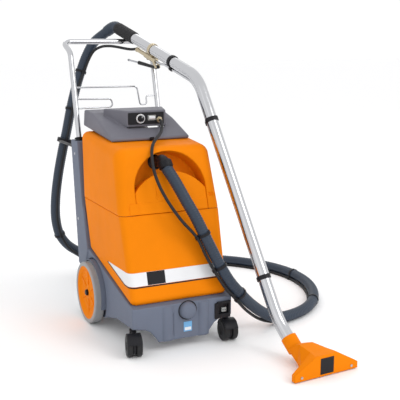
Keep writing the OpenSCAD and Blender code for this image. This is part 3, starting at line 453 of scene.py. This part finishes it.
def on_face(x, s, depth):
    """A point on the tanks' leaning front: x across, s up the slope from the seam, depth inward."""
    return at(x, face_y(SEAM) + depth * math.cos(LEAN) + s * math.sin(LEAN),
              SEAM - depth * math.sin(LEAN) + s * math.cos(LEAN))


def face_s(z):
    return (z - SEAM) / math.cos(LEAN)


def mirrored(balls):
    return balls + [(-x, y, z, r) for x, y, z, r in balls]


YAW = math.radians(11.5)
WAND_X, WAND_Y = 263, -455


def wand_at(a, z, s=0.0):
    """A point beside the wand: a along its plan line, z up, s to its side."""
    return at(WAND_X - a * math.sin(YAW) + s * math.cos(YAW),
              WAND_Y + a * math.cos(YAW) + s * math.sin(YAW), z)


WAND_RATE = 0.33
LOW_BEND = (100, 109)
KNEE = (508.2, 831.1)
VALVE_DROP = 32.0
WAND_AXIS = (wand_at(1, WAND_RATE) - wand_at(0, 0)).normalized()
WAND_BELOW = (wand_at(WAND_RATE, -1) - wand_at(0, 0)).normalized()


def under_wand(a, drop=0.0):
    return wand_at(a, KNEE[1] + WAND_RATE * (a - KNEE[0])) + WAND_BELOW * (drop * MM)


# ---- free hoses -------------------------------------------------------------------------------

VACUUM_ROUTE = [
    (-10, -90, 559), (8, -120, 516), (30, -144, 464), (56, -158, 412), (82, -169, 354),
    (107, -179, 298), (130, -190, 248), (158, -199, 198), (200, -192, 150), (252, -174, 100),
    (314, -158, 54), (370, -146, 28), (440, -128, 21), (520, -92, 21), (595, -25, 21),
    (655, 65, 21), (695, 170, 21), (707, 285, 21), (685, 400, 21), (636, 500, 21),
    (565, 585, 21), (475, 652, 21), (370, 694, 21), (260, 715, 21), (155, 718, 22),
    (60, 706, 36), (-12, 690, 72), (-76, 671, 116), (-118, 662, 149), (-150, 656, 196),
    (-165, 650, 262), (-166, 640, 340), (-156, 628, 435), (-139, 621, 525), (-118, 620, 610),
    (-98, 624, 692), (-74, 630, 770), (-50, 637, 832), (-27, 637, 888), (-1, 620, 940),
    (37, 577, 981)]
HOSE_R, THIN_R, STRAP_GAP = 19.0, 5.0, 1.5
RIB_DEPTH, RIB_STEPS = 1.3, 4.0
FIRST_STRAP, LAST_STRAP = 4, 38
FLOOR_OUT, FLOOR_DOWN = 0.785, -0.62


def floor_side(k):
    """Where the thin hose lies beside the thick one on the floor: outward and low."""
    t = unit(Vector(VACUUM_ROUTE[k + 1]) - Vector(VACUUM_ROUTE[k - 1]))
    return (-t[1] * FLOOR_OUT, t[0] * FLOOR_OUT, FLOOR_DOWN)


STRAP_SIDE = (
    [(-0.9, 0, -0.42), (-0.9, 0, -0.42), (-0.88, -0.1, -0.45), (-0.75, -0.25, -0.6),
     (-0.6, -0.3, -0.72), (-0.55, -0.05, -0.83), (-0.42, 0.3, -0.85), (-0.25, 0.6, -0.74)]
    + [floor_side(k) for k in range(12, 25)]
    + [(-0.15, -0.8, -0.6), (-0.3, -0.85, -0.45), (-0.2, -0.93, -0.3), (-0.15, -0.97, -0.2)]
    + [(0, -1, 0)] * 8
    + [(0.05, -0.95, -0.3), (0.05, -0.85, -0.5), (0.05, -0.66, -0.75), (0.06, -0.42, -0.9)])


def thin_point(k):
    before, here, after = (Vector(VACUUM_ROUTE[i]) for i in (k - 1, k, k + 1))
    t = unit(unit(after - here) + unit(here - before))
    side = Vector(STRAP_SIDE[k - FIRST_STRAP])
    return at(*here) + unit(side - t * side.dot(t)) * ((HOSE_R + THIN_R + STRAP_GAP) * MM)


THIN_START = [(52, 101, 688.5), (49.5, 85, 679), (41, 64, 665), (24, 37, 653), (-4, 2, 642),
              (-32, -34, 627), (-50, -68, 603), (-58, -96, 571), (-57, -119, 535),
              (-46, -136, 497), (-26, -149, 456), (8, -161, 404)]
THIN_END = [(-6, 603, 910), (14, 577, 925), (34, 543, 928), (52, 507, 925), (67, 471, 920),
            (79, 436, 917)]


def make_hoses():
    path = curve_through([at(*p) for p in VACUUM_ROUTE], 0.002)
    wave = [HOSE_R - RIB_DEPTH * (0.5 - 0.5 * math.cos(math.tau * k / RIB_STEPS)) ** 0.8
            for k in range(len(path))]
    wave[0] = wave[-1] = HOSE_R
    hose = new_object("vacuum_hose_ribbed", swept(path, wave, 20), "hose", BODY_OF["vacuum_hose"],
                      replaces=["vacuum_hose"])
    hose.data.shade_smooth()
    strapped = [thin_point(k) for k in range(FIRST_STRAP, LAST_STRAP + 1)]
    thin = curve_through([at(*p) for p in THIN_START] + strapped + [at(*p) for p in THIN_END]
                         + [under_wand(865, VALVE_DROP)], 0.008)
    line = new_object("solution_hose_smooth", swept(thin, THIN_R, 14), "rubber",
                      BODY_OF["solution_hose"], replaces=["solution_hose"])


make_hoses()

# ---- tanks ------------------------------------------------------------------------------------

LOWER_BALLS = mirrored([(145, face_y(169) + 20.8, 169, 20), (151, face_y(440) + 20.8, 440, 20),
                        (145, 211, 255, 20), (151, 252, 440, 20)])
UPPER_BALLS = mirrored([(149, face_y(400) + 25, 400, 24), (127, face_y(584) + 39.5, 584, 38),
                        (149, 240, 400, 24), (141, 272, 620, 24)])
ARCH_X, ARCH_R, ARCH_S, ARCH_FOOT, ARCH_DEPTH = 7.0, 122.0, 73.0, -30.0, 60.0
ARCH_STEPS = 64
BEFORE_FACE = -70                     # well in front of the leaning face
INLET_X, INLET_S, INLET_BORE_R = -14, 168, 17.2
STRIPE_LOW, STRIPE_HIGH = 211, 251
STEP_SHADE_LOW, STEP_SHADE_HIGH = 206, 209.4        # painted shade: a black line under the stripe, standing for the shadow of a step in the tank's face
STRIPE_TURN = -120                    # from here back the stripe tapers
BADGE_LEFT, BADGE_RIGHT = -108, -48


def arch_tool():
    """What cuts the arch out of the front: a half round on straight sides."""
    arc = [(ARCH_X + ARCH_R * math.cos(math.pi * i / ARCH_STEPS),
            ARCH_S + ARCH_R * math.sin(math.pi * i / ARCH_STEPS)) for i in range(ARCH_STEPS + 1)]
    outline = [(ARCH_X + ARCH_R, ARCH_FOOT)] + arc + [(ARCH_X - ARCH_R, ARCH_FOOT)]
    return prism(outline, on_face, BEFORE_FACE, ARCH_DEPTH)


def make_tanks():
    lower = halved(ball_hull(LOWER_BALLS), (0, 0, SEAM - 1), (0, 0, 1))
    new_object("solution_tank_shell", softened(lower, 0.0025, 3, 0.16), "orange",
               BODY_OF["solution_tank"], replaces=["solution_tank"])
    upper = halved(ball_hull(UPPER_BALLS), (0, 0, SEAM), (0, 0, -1))
    upper = cut(upper, arch_tool())
    notch = [(135, 41), (158, 41), (158, 51), (135, 51)]
    upper = cut(upper, prism(notch, on_face, -30, 7))
    bore = lathe([(0, -20), (INLET_BORE_R, -20), (INLET_BORE_R, 60), (0, 60)],
                 on_face(INLET_X, INLET_S, ARCH_DEPTH), FACE_IN, 48)
    upper = cut(upper, bore)
    new_object("recovery_tank_shell", softened(upper, 0.0025, 3, 0.2), "orange",
               BODY_OF["recovery_tank"], replaces=["recovery_tank"])
    # the dark joint between the tanks
    joint = halved(halved(ball_hull(LOWER_BALLS, -3.0, 12), (0, 0, SEAM + 3), (0, 0, 1)),
                   (0, 0, SEAM - 5), (0, 0, -1))
    joint = cut(joint, arch_tool())
    new_object("tank_joint_seal", joint, "rubber", BODY_OF["solution_tank"])


def wrapped_band(grow, planes):
    """A thin band on the solution tank's skin, kept behind each plane (point, normal)."""
    band = ball_hull(LOWER_BALLS, grow)
    for point, normal in planes:
        band = halved(band, point, normal)
    band = cut(band, ball_hull(LOWER_BALLS, 0.1))
    sharpen(band, 30)
    return band


def make_stripe():
    rise, top_rise = 35 / 150, 5 / 150
    stripe = wrapped_band(1.1, [
        ((0, 0, STRIPE_LOW), (0, 0, -1)), ((0, 0, STRIPE_HIGH), (0, 0, 1)),
        ((0, STRIPE_TURN, STRIPE_LOW), (0, rise, -1)),
        ((0, STRIPE_TURN, STRIPE_HIGH), (0, top_rise, 1))])
    new_object("white_stripe", stripe, "white", BODY_OF["stripe_band"], smooth=False,
               replaces=["stripe_band"])
    # painted shade: a black band under the stripe, on the front and round the sides, in place of
    # the shadow of a step in the tank's face
    front = wrapped_band(0.9, [((0, 0, STEP_SHADE_LOW), (0, 0, -1)), ((0, 0, STEP_SHADE_HIGH), (0, 0, 1)),
                               ((0, STRIPE_TURN, 0), (0, 1, 0))])
    sides = wrapped_band(0.9, [
        ((0, STRIPE_TURN, STEP_SHADE_LOW), (0, rise, -1)), ((0, STRIPE_TURN, STEP_SHADE_HIGH), (0, -rise, 1)),
        ((0, STRIPE_TURN, 0), (0, -1, 0)), ((0, 36, 0), (0, 1, 0))])
    new_object("painted_step_shade_line", joined([front, sides]), "black", BODY_OF["stripe_band"],
               smooth=False)
    low, high = face_s(STRIPE_LOW + 0.5), face_s(STRIPE_HIGH - 0.5)
    badge = prism([(BADGE_LEFT, low), (BADGE_RIGHT, low), (BADGE_RIGHT, high), (BADGE_LEFT, high)],
                  on_face, -1.9, 0.4)
    new_object("blank_badge", bevelled(badge, 0.0006, 2), "black", BODY_OF["badge_plate"],
               replaces=["badge_plate"], smooth=False)


FACE_IN = (on_face(0, 0, 1) - on_face(0, 0, 0)).normalized()


def make_filler_cover():
    soft_node("filler_cover", 0.0016, 4, 0.25)
    # the cover's foot reaches further to the left, level with the tank's front
    foot = prism([(-139, 1.5), (-111, 1.5), (-111, 36), (-139, 36)], on_face, -1.5, 3)
    new_object("filler_cover_foot", bevelled(foot, 0.0007, 2), "orange", BODY_OF["filler_cover"],
               smooth=False)


# ---- chassis ----------------------------------------------------------------------------------

COLUMN_FACE, SIDE_FACE = 174.0, 170.0
BULGE_X = (-53, 70)
BULGE_R = 27.4
BULGE_Y = -170
BULGE_LOW, BULGE_TOP = 33, 143.2
LIP_OUT_R, LIP_IN_R = 112, 107.2
LIP_IN, LIP_OUT = 164, 184
KNOB_AT = (14, CHASSIS_FRONT, 122)


def make_chassis():
    soft_node("chassis_shell", 0.0024, 4, 0.22)
    soft_node("back_panel", 0.0022, 3, 0.2)
    # screws at the columns' sides and feet
    heads = []
    for side in (-1, 1):
        for y, z in ((340, 560), (322, 330), (282, 200)):
            x = COLUMN_FACE if z > 235 else SIDE_FACE
            heads.append(lathe([(0, 1.2), (2.2, 1.2), (4.4, 0.9), (5, 0.2), (5, -1), (0, -1)],
                               at(side * x, y, z), (side, 0, 0), 24))
    new_object("column_screws", joined(heads), "pan_steel", "machine", smooth=False)
    # the two upright bulges beside the drain knob, whole across their width
    bulges = []
    for centre in BULGE_X:
        arc = [math.radians(-48 + 4 * i) for i in range(25)]
        outline = [(centre + BULGE_R * math.sin(a), BULGE_Y - BULGE_R * math.cos(a)) for a in arc]
        bulges.append(prism(outline, at, BULGE_LOW, BULGE_TOP))
    new_object("front_bulges", softened(joined(bulges), 0.0012, 3, 0.5), "slate", "machine")
    # the lip that follows the front of each rear wheel
    for side, label in ((-1, "left"), (1, "right")):
        turn = [math.radians(-158 - 4 * i) for i in range(-32, 11)]
        outline = [(AXLE_Y + r * math.cos(a), WHEEL_R - r * math.sin(a))
                   for r, angles in ((LIP_OUT_R, turn), (LIP_IN_R, turn[::-1])) for a in angles]
        lip = prism(outline, lambda u, v, d, side=side: at(side * d, u, v), LIP_IN, LIP_OUT)
        new_object("wheel_lip_" + label, bevelled(lip, 0.0012, 2), "slate", "machine",
                   smooth=False)


def make_drain_knob():
    body = BODY_OF["drain_knob"]
    origin, out = at(*KNOB_AT), (0, -1, 0)
    dome = lathe([(0, 21.5), (9, 21), (17, 19.3), (22.5, 16), (25.6, 11), (26.6, 6), (26.8, 1.5),
                  (0, 1.5)], origin, out, 72)
    shaft = lathe([(0, 2), (13.05, 2), (13.05, -44), (0, -44)], origin, out, 48)
    new_object("drain_knob_grip", joined([dome, shaft]), "slate", body, smooth=False,
               replaces=["drain_knob"])
    ring = lathe([(28.5, -0.4), (30.5, -0.4), (31.5, 0.6), (31.5, 1.2), (28.5, 1.2)],
                 origin, out, 64, True)
    new_object("drain_knob_collar", ring, "rubber", "machine", smooth=False)


def make_socket():
    soft_node("accessory_socket", 0.001, 3, 0.3)
    insert = bevelled(block(138, -184, 94, 155, -178.7, 108), 0.001, 2)
    new_object("socket_insert", insert, "light_grey", "machine", smooth=False)
    holes = [lathe([(0, 0.3), (1.9, 0.3), (1.9, -1), (0, -1)],
                   at(146.5 + dx, -184, 101), (0, -1, 0), 24) for dx in (-4, 4)]
    new_object("socket_contacts", joined(holes), "black", "machine", smooth=False)
    hinge = lathe([(0, 0), (3, 0), (3, 48), (0, 48)], at(117, -194, 131), (1, 0, 0), 24)
    new_object("socket_hinge", hinge, "black", "machine", smooth=False)


def make_label():
    plate = bevelled(block(1, -191.3, 52, 29, -189.6, 84), 0.0004, 2)
    new_object("blank_label", plate, "sky", BODY_OF["label_plate"], replaces=["label_plate"],
               smooth=False)
    inner = bevelled(block(4, -191.7, 56, 26, -191.2, 66), 0.0002, 1)
    new_object("blank_label_field", inner, "white", BODY_OF["label_plate"], smooth=False)


# ---- wheels -----------------------------------------------------------------------------------

def make_rear_wheel(side, tyre_node, disc_node, label):
    origin, out = at(side * 169, AXLE_Y, WHEEL_R), (side, 0, 0)
    tread = [(91, 1), (97, 0.4), (101, 0.4), (103.6, 2.6)]
    for k in range(6):
        h = 4.5 + k * 4.6
        tread += [(104.9, h), (105, h + 2.9), (103.9, h + 3.3), (103.9, h + 4.2)]
    tread += [(103.6, 32.6), (101, 34.6), (97, 34.6), (94, 33.8), (91, 33.6)]
    tyre = lathe(tread, origin, out, 160, True)
    new_object(f"tyre_{label}_treaded", tyre, "tyre", BODY_OF[tyre_node], smooth=False,
               replaces=[tyre_node])
    disc = lathe([
        (6.05, 2), (16, 2), (16, 15), (70, 15), (76, 1), (91, 1), (91, 33), (88.5, 33.2),
        (86, 31.5), (83, 30.8), (79, 29), (75.5, 25.5), (71, 24), (56, 23.2), (54, 24.6),
        (50, 24.6), (48, 23.2), (30, 23), (24, 24.4), (20, 27), (13, 27.4), (12, 26),
        (6.05, 26)], origin, out, 128, True)
    spokes = [disc]
    up, fore = Vector((0, 0, 1)), Vector((0, 1, 0))
    for i in range(6):
        a = math.tau * (i + 0.5) / 6
        ray = fore * math.cos(a) + up * math.sin(a)
        across = Vector(out).cross(ray)
        rib = prism([(24, -4.5), (74, -3), (74, 3), (24, 4.5)],
                    lambda u, v, d, ray=ray, across=across:
                    origin + ray * (u * MM) + across * (v * MM) + Vector(out) * (d * MM), 20, 26)
        spokes.append(bevelled(rib, 0.0012, 2))
    new_object(f"wheel_disc_{label}_ribbed", joined(spokes), "orange", BODY_OF[disc_node],
               smooth=False, replaces=[disc_node])


CASTOR_TRAIL, CASTOR_R = 24, 33.5


def make_castor(side, turn, fork_node, wheel_node, label):
    turn = math.radians(turn)
    stem = at(side * 160, -164, 0)
    right = Vector((math.cos(turn), math.sin(turn), 0))
    ahead = Vector((math.sin(turn), -math.cos(turn), 0))

    def spot(across, along, z):
        return stem + right * (across * MM) + ahead * (along * MM) + Vector((0, 0, z * MM))

    rims = []
    for start, flip in ((-24, 1), (24, -1)):
        face = right * flip
        rims.append(lathe([
            (0, 4), (9, 4), (10, 3), (14, 3), (16, 0.6), (25, 0.4), (27, 0), (30.5, 0), (33, 2),
            (33.5, 4.5), (33.5, 15), (32.5, 17.4), (30.5, 18), (0, 18)],
            spot(start, CASTOR_TRAIL, CASTOR_R), face, 72))
    rims.append(lathe([(0, 0), (4, 0), (4, 38), (0, 38)],
                      spot(-19, CASTOR_TRAIL, CASTOR_R), right, 32))
    new_object(f"castor_wheels_{label}_rims", joined(rims), "tyre_black", BODY_OF[wheel_node],
               smooth=False, replaces=[wheel_node])
    fork = softened(NODES[fork_node].data.copy(), 0.0009, 4, 0.3)
    new_object(f"castor_fork_{label}_skin", fork, "black", BODY_OF[fork_node], replaces=[fork_node])


# ---- suction head -----------------------------------------------------------------------------

HEAD_BALLS = mirrored([(131, 61, 635, 6), (131, 122, 649, 7), (129, 189, 680, 8),
                       (127, 262, 699, 8), (131, 332, 706, 6), (134, 332, 662, 6)])
CONSOLE_BALLS = [(-58, 122, 672, 4), (78, 122, 672, 4), (-56, 124, 718, 4), (76, 124, 718, 4),
                 (-96, 236, 718, 4), (112, 236, 718, 4), (-96, 236, 690, 4), (112, 236, 690, 4)]


def make_head():
    shell = cut(ball_hull(HEAD_BALLS, 0, 12), ball_hull(CONSOLE_BALLS, 0, 10), "UNION")
    hollow = ball_hull([(x, y, z - drop, r - 4) for x, y, z, r in HEAD_BALLS
                        for drop in (0, 12)], 0, 8)
    shell = cut(shell, hollow)
    shell = cut(shell, block(-56, 124, 660, 76, 226, 715))
    shell = cut(shell, block(-53, 100, 679, 68, 128, 712))
    for k in range(-4, 5):
        shell = cut(shell, block(k * 13 - 2.5, 328, 676, k * 13 + 2.5, 345, 702))
    new_object("head_cover_shell", softened(shell, 0.0018, 4, 0.22), "grey", BODY_OF["head_cover"],
               replaces=["head_cover"])
    panel = bevelled(block(-56, 116, 676, 71, 119, 715), 0.0012, 3)
    new_object("control_panel_face", panel, "black", BODY_OF["control_panel"], smooth=False,
               replaces=["control_panel"])
    rim = [block(-56, 115.2, 676, 71, 116.2, 677.2), block(-56, 115.2, 713.8, 71, 116.2, 715)]
    new_object("control_panel_rim", joined(rim), "rubber", BODY_OF["control_panel"], smooth=False)
    frame_bars = [block(x0, 114.6, z0, x1, 116.4, z1) for x0, z0, x1, z1 in (
        (13, 688.6, 41, 690.2), (13, 703.8, 41, 705.4),
        (13, 690.2, 14.8, 703.8), (39.2, 690.2, 41, 703.8))]
    new_object("rocker_frame", joined(frame_bars), "light_grey", BODY_OF["control_panel"],
               smooth=False)


DIAL_X, PANEL_Y, DIAL_Z = -13, 118, 695


def make_dial():
    origin, out = at(DIAL_X, PANEL_Y, DIAL_Z), Vector((0, -1, 0))
    ring = lathe([(11, 2), (11, 3.6), (15, 3.6), (15.5, 3.1), (15.5, 2)], origin, out, 64, True)
    new_object("dial_ring_scale", ring, "white", BODY_OF["dial_ring"], smooth=False,
               replaces=["dial_ring"])
    ticks = []
    for i in range(11):
        a = math.radians(-135 + 27 * i)
        ray = Vector((math.sin(a), 0, math.cos(a)))
        side = out.cross(ray)
        ticks.append(prism([(12.2, -0.4), (14.6, -0.4), (14.6, 0.4), (12.2, 0.4)],
                           lambda u, v, d, ray=ray, side=side:
                           origin + ray * (u * MM) + side * (v * MM) + out * (d * MM), 3.5, 3.8))
    new_object("dial_ring_ticks", joined(ticks), "black", BODY_OF["dial_ring"], smooth=False)
    knob = lathe([(0, -14), (4, -14), (4, 2.6), (10.4, 2.6), (10.5, 4), (9.6, 11.8), (8.8, 12.6),
                  (0, 12.6)], origin, out, 64)
    bar = prism([(-2.4, -9.6), (2.4, -9.6), (2.4, 9.6), (-2.4, 9.6)],
                lambda u, v, d: at(DIAL_X + u, PANEL_Y - d, DIAL_Z + v), 11, 16.5)
    new_object("dial_knob_turned", joined([knob, bevelled(bar, 0.0009, 2)]), "black",
               BODY_OF["dial_knob"], smooth=False, replaces=["dial_knob"])
    mark = block(-13.7, 101.2, 699, -12.3, 101.7, 704)
    new_object("dial_knob_mark", mark, "white", BODY_OF["dial_knob"], smooth=False)


def make_latch():
    soft_node("latch_pin", 0.0006, 3, 0.4)


# ---- hose inlet -------------------------------------------------------------------------------

WALL_POINT = on_face(INLET_X, INLET_S, ARCH_DEPTH)


def make_inlet():
    out = -FACE_IN
    corner = WALL_POINT + out * (74 * MM)
    first = at(*VACUUM_ROUTE[0])
    path = bent_path([WALL_POINT + FACE_IN * (12 * MM), corner, first], [0, 26, 0], 6)
    down = (first - corner).normalized()
    elbow = swept(path, 17.0, 40, 14.0)
    flange = lathe([(17, 0.6), (24, 0.6), (24, 3.5), (22.5, 5), (19, 5.6), (17, 7)],
                   WALL_POINT, out, 56)
    collar = lathe([(16.5, -24), (20.5, -24), (22, -22.5), (22.5, -20), (22.5, -2), (21.8, -0.6),
                    (19.4, 0), (16.5, 0)], first, down, 56)
    ribs = [lathe([(22.4, -20 + 4 * k), (23.1, -19.4 + 4 * k), (23.1, -18.2 + 4 * k),
                   (22.4, -17.6 + 4 * k)], first, down, 56) for k in range(5)]
    new_object("inlet_elbow_moulded", joined([elbow, flange, collar] + ribs), "black",
               BODY_OF["inlet_elbow"], smooth=False, replaces=["inlet_elbow"])


def make_coupling():
    origin, out = at(52, PANEL_Y, 690), (0, -1, 0)
    parts = [lathe([(0, -12), (7, -12), (7, 4), (0, 4)], origin, out, 40),
             lathe([(6, 2.2), (10.2, 2.2), (11, 3), (11, 8.4), (10.2, 9.2), (6, 9.2)],
                   origin, out, 6),
             lathe([(6.4, 9), (6.4, 10.5), (5.8, 11), (6.4, 11.5), (6.4, 14), (3, 14), (3, 9)],
                   origin, out, 40)]
    new_object("solution_coupling_brass", joined(parts), "brass", BODY_OF["solution_coupling"],
               smooth=False, replaces=["solution_coupling"])


# ---- handle and racks -------------------------------------------------------------------------

def upright_y(z):
    return 343 + (z - 610) * 0.2545


def upright(z, side=1):
    return at(side * 155, upright_y(z), z)


def make_handle():
    route = [upright(475, -1), upright(908, -1), at(-163, 483, 945), at(163, 483, 945),
             upright(908), upright(475)]
    path = bent_path(route, [0, 45, 28, 28, 45, 0], 4)
    new_object("push_handle_tube", swept(path, 9.5, 40, 8.0), "chrome", BODY_OF["push_handle"],
               smooth=False, replaces=["push_handle"])
    rings = []
    for side in (-1, 1):
        low, top = upright(584, side), upright(616, side)
        axis = (top - low).normalized()
        rings.append(lathe([(9.6, 0), (12.5, 0), (12.5, 27), (15.2, 27.4), (16, 28.4), (16, 31),
                            (15.2, 32), (12.5, 32.4), (11.8, 33), (9.6, 33)], low, axis, 48))
    new_object("handle_bushes_moulded", joined(rings), "black", BODY_OF["handle_bushes"],
               smooth=False,
               replaces=["handle_bushes"])


def make_rack():
    left, right = -145.5, 145.5
    upper = bent_path([at(left, upright_y(786), 786), at(76, 374, 786), at(87, 372, 720),
                       at(113, 372, 720), at(113, 378, 751), at(right, upright_y(751), 751)],
                      [0, 14, 9, 9, 9, 0], 10)
    lower = bent_path([at(left, upright_y(746), 746), at(-24, 372, 744), at(-16, 371, 715),
                       at(left, upright_y(714), 714)], [0, 12, 12, 0], 10)
    new_object("wire_rack_rods", joined([swept(upper, 3.0, 16), swept(lower, 3.0, 16)]), "chrome",
               BODY_OF["wire_rack"], smooth=False, replaces=["wire_rack"])


def make_hook():
    hook = Vector((-127, 615, 572))
    aim = Vector((22, -1, 85)).normalized()
    arm_end = at(*(hook + Vector((-24.4, -14.7, 0))))
    arm = swept(bent_path([at(-160, 380, 578), at(-160, 540, 578), arm_end], [0, 60, 0], 8),
                5.0, 20)
    foot = bevelled(block(-172, 379.3, 568, -148, 384, 588), 0.0015, 3)
    eye = lathe([(27, -7), (28, -8), (29.6, -8), (30.5, -7), (30.5, 7), (29.6, 8), (28, 8),
                 (27, 7)], at(*hook), aim, 56, True)
    new_object("hose_hook_arm", joined([arm, foot, eye]), "black", BODY_OF["hose_hook"],
               smooth=False, replaces=["hose_hook"])


# ---- wand -------------------------------------------------------------------------------------

def make_wand():
    route = [wand_at(30, 46), wand_at(*LOW_BEND), wand_at(*KNEE), under_wand(1000)]
    path = bent_path(route, [0, 250, 120, 0], 2)
    new_object("wand_tube_chromed", swept(path, 19.0, 48, 17.5), "chrome", BODY_OF["wand_tube"],
               smooth=False, replaces=["wand_tube"])


def make_line():
    drop = 25.5
    (bend_a, bend_z), (knee_a, knee_z) = LOW_BEND, KNEE
    rise, low = math.atan2(knee_z - bend_z, knee_a - bend_a), math.atan2(63, 70)
    top = math.atan(WAND_RATE)
    half1, half2 = (rise + low) / 2, (rise + top) / 2
    step1, step2 = drop / math.cos((rise - low) / 2), drop / math.cos((rise - top) / 2)
    route = [wand_at(36 + drop * math.sin(low), 51 - drop * math.cos(low)),
             wand_at(bend_a + step1 * math.sin(half1), bend_z - step1 * math.cos(half1)),
             wand_at(knee_a + step2 * math.sin(half2), knee_z - step2 * math.cos(half2)),
             under_wand(690, drop), under_wand(715, VALVE_DROP), under_wand(739.5, VALVE_DROP)]
    path = bent_path(route, [0, 240, 94, 30, 30, 0], 4)
    new_object("solution_line_tube", swept(path, 4.5, 20), "chrome", BODY_OF["solution_line"],
               smooth=False, replaces=["solution_line"])


def make_clips():
    soft_node("wand_clips", 0.0009, 3, 0.35)


def make_grip():
    a, b = under_wand(885), under_wand(999.5)
    length = (b - a).length / MM
    rib_pitch = 6.2
    profile = [(19.2, 0), (20.6, 0), (21.8, 1.5)]
    h = 8.0
    while h < length - 10:
        profile += [(21.8, h), (22.3, h + 0.6), (22.3, h + 3.5), (21.8, h + 4.1), (21.2, h + 4.6),
                    (21.2, h + 5.6)]
        h += rib_pitch
    profile += [(21.8, length - 3), (21, length), (19.2, length)]
    new_object("grip_cuff_ribbed", lathe(profile, a, WAND_AXIS, 72), "rubber", BODY_OF["grip_cuff"],
               smooth=False, replaces=["grip_cuff"])
    start = under_wand(1000.5)
    end = at(*VACUUM_ROUTE[-1])
    corner = start + WAND_AXIS * (26 * MM)
    path = bent_path([start, corner, end + unit(corner - end) * (0.5 * MM)], [0, 35, 0], 3)
    fine = evenly(path, 0.0012)
    radii = [21.4 if (k // 3) % 2 and 8 < k < len(fine) - 8 else 20.9 for k in range(len(fine))]
    radii[0] = radii[-1] = 20.0
    new_object("hose_cuff_moulded", swept(fine, radii, 48, 16.0), "hose", BODY_OF["hose_cuff"],
               smooth=False, replaces=["hose_cuff"])


LEVER_SLOPE = 0.12


def make_valve():
    soft_node("spray_valve", 0.0009, 3, 0.35)
    nut = lathe([(5.2, 0), (8.5, 0), (9.4, 1), (9.4, 9), (8.5, 10), (5.2, 10)],
                under_wand(853, VALVE_DROP), WAND_AXIS, 6)
    new_object("valve_hose_nut", nut, "brass", BODY_OF["spray_valve"], smooth=False)
    soft_node("valve_lever", 0.0008, 4, 0.35)
    pivot = under_wand(727, VALVE_DROP + 16)
    lever = (wand_at(1, LEVER_SLOPE) - wand_at(0, 0)).normalized()
    down = (wand_at(LEVER_SLOPE, -1) - wand_at(0, 0)).normalized()
    start = pivot + lever * (122 * MM) + down * (2 * MM)
    rod = lathe([(0, 0), (3.4, 0), (3.4, 62), (4.4, 64), (4.6, 67), (3.6, 69.5), (0, 70)],
                start, lever, 32)
    new_object("valve_lever_tip", rod, "pan_steel", BODY_OF["valve_lever"], smooth=False)


# ---- floor tool -------------------------------------------------------------------------------

TOOL_YAW = math.radians(4)
TOOL_X, TOOL_Y = 280, -571


def tool_at(x, y, z):
    return at(TOOL_X + x * math.cos(TOOL_YAW) - y * math.sin(TOOL_YAW),
              TOOL_Y + x * math.sin(TOOL_YAW) + y * math.cos(TOOL_YAW), z)


def tool_slab(outline, depth0, depth1):
    """An outline across and up the tool's front, with its depth behind that front."""
    return prism(outline, lambda u, v, d: tool_at(u, d, v), depth0, depth1)


def make_tool():
    soft_node("tool_hood", 0.0012, 4, 0.3)
    half, low, end_h, top_half, high = 114, 3, 23, 38, 66
    outline = [(-half, low), (half, low), (half, end_h), (top_half, high), (-top_half, high),
               (-half, end_h)]
    plate = bevelled(tool_slab(outline, 0.0, 2.9), 0.0009, 2)
    new_object("tool_front_face", plate, "orange", BODY_OF["tool_front_plate"], smooth=False,
               replaces=["tool_front_plate"])
    badge = tool_slab([(-24, 9), (24, 9), (24, 58), (-24, 58)], -0.9, 0.3)
    new_object("tool_blank_badge", bevelled(badge, 0.0006, 2), "black", BODY_OF["tool_front_plate"],
               smooth=False)
    soft_node("suction_lip", 0.0008, 2, 0.35)


def make_all():
    make_tanks()
    make_stripe()
    make_filler_cover()
    make_chassis()
    make_drain_knob()
    make_socket()
    make_label()
    make_rear_wheel(-1, "tyre_left", "wheel_disc_left", "left")
    make_rear_wheel(1, "tyre_right", "wheel_disc_right", "right")
    make_castor(-1, -14, "castor_fork_left", "castor_wheels_left", "left")
    make_castor(1, -4, "castor_fork_right", "castor_wheels_right", "right")
    make_head()
    make_dial()
    make_latch()
    make_inlet()
    make_coupling()
    make_handle()
    make_rack()
    make_hook()
    make_wand()
    make_line()
    make_clips()
    make_grip()
    make_valve()
    make_tool()


make_all()

# ---- stage ------------------------------------------------------------------------------------

FLOOR_HALF = 30
WORLD_LIGHT = 1.02
LAMPS = (      # name, place, aim, size, watts
    ("key", (1.8, -3.0, 3.0), (0, 0, 0.45), 1.8, 42),
    ("fill", (-3.2, -2.0, 1.9), (0, 0, 0.5), 2.4, 4),
    ("back", (0.6, 3.2, 2.6), (0, 0, 0.6), 2.0, 12))


def make_stage():
    corners = [(x * FLOOR_HALF, y * FLOOR_HALF, 0) for x, y in ((-1, -1), (1, -1), (1, 1), (-1, 1))]
    floor_mesh = from_lists("floor", corners, [(0, 1, 2, 3)])
    floor = bpy.data.objects.new("studio_floor", floor_mesh)
    bpy.context.scene.collection.objects.link(floor)
    floor_mesh.materials.append(
        material("pale_floor", (0.98, 0.98, 0.985), 0.8, bump=0.0, mottle=0.003))
    world = bpy.data.worlds.new("studio")
    world.use_nodes = True
    world.node_tree.nodes["Background"].inputs["Color"].default_value = (1.0, 1.0, 1.0, 1)
    world.node_tree.nodes["Background"].inputs["Strength"].default_value = WORLD_LIGHT
    bpy.context.scene.world = world
    for name, place, aim, width, power in LAMPS:
        data = bpy.data.lights.new(name, "AREA")
        data.size = width
        data.energy = power
        lamp = bpy.data.objects.new(name, data)
        bpy.context.scene.collection.objects.link(lamp)
        lamp.location = place
        lamp.rotation_euler = (Vector(aim) - Vector(place)).to_track_quat("-Z", "Y").to_euler()
    bpy.context.scene.view_settings.view_transform = "Standard"


make_stage()
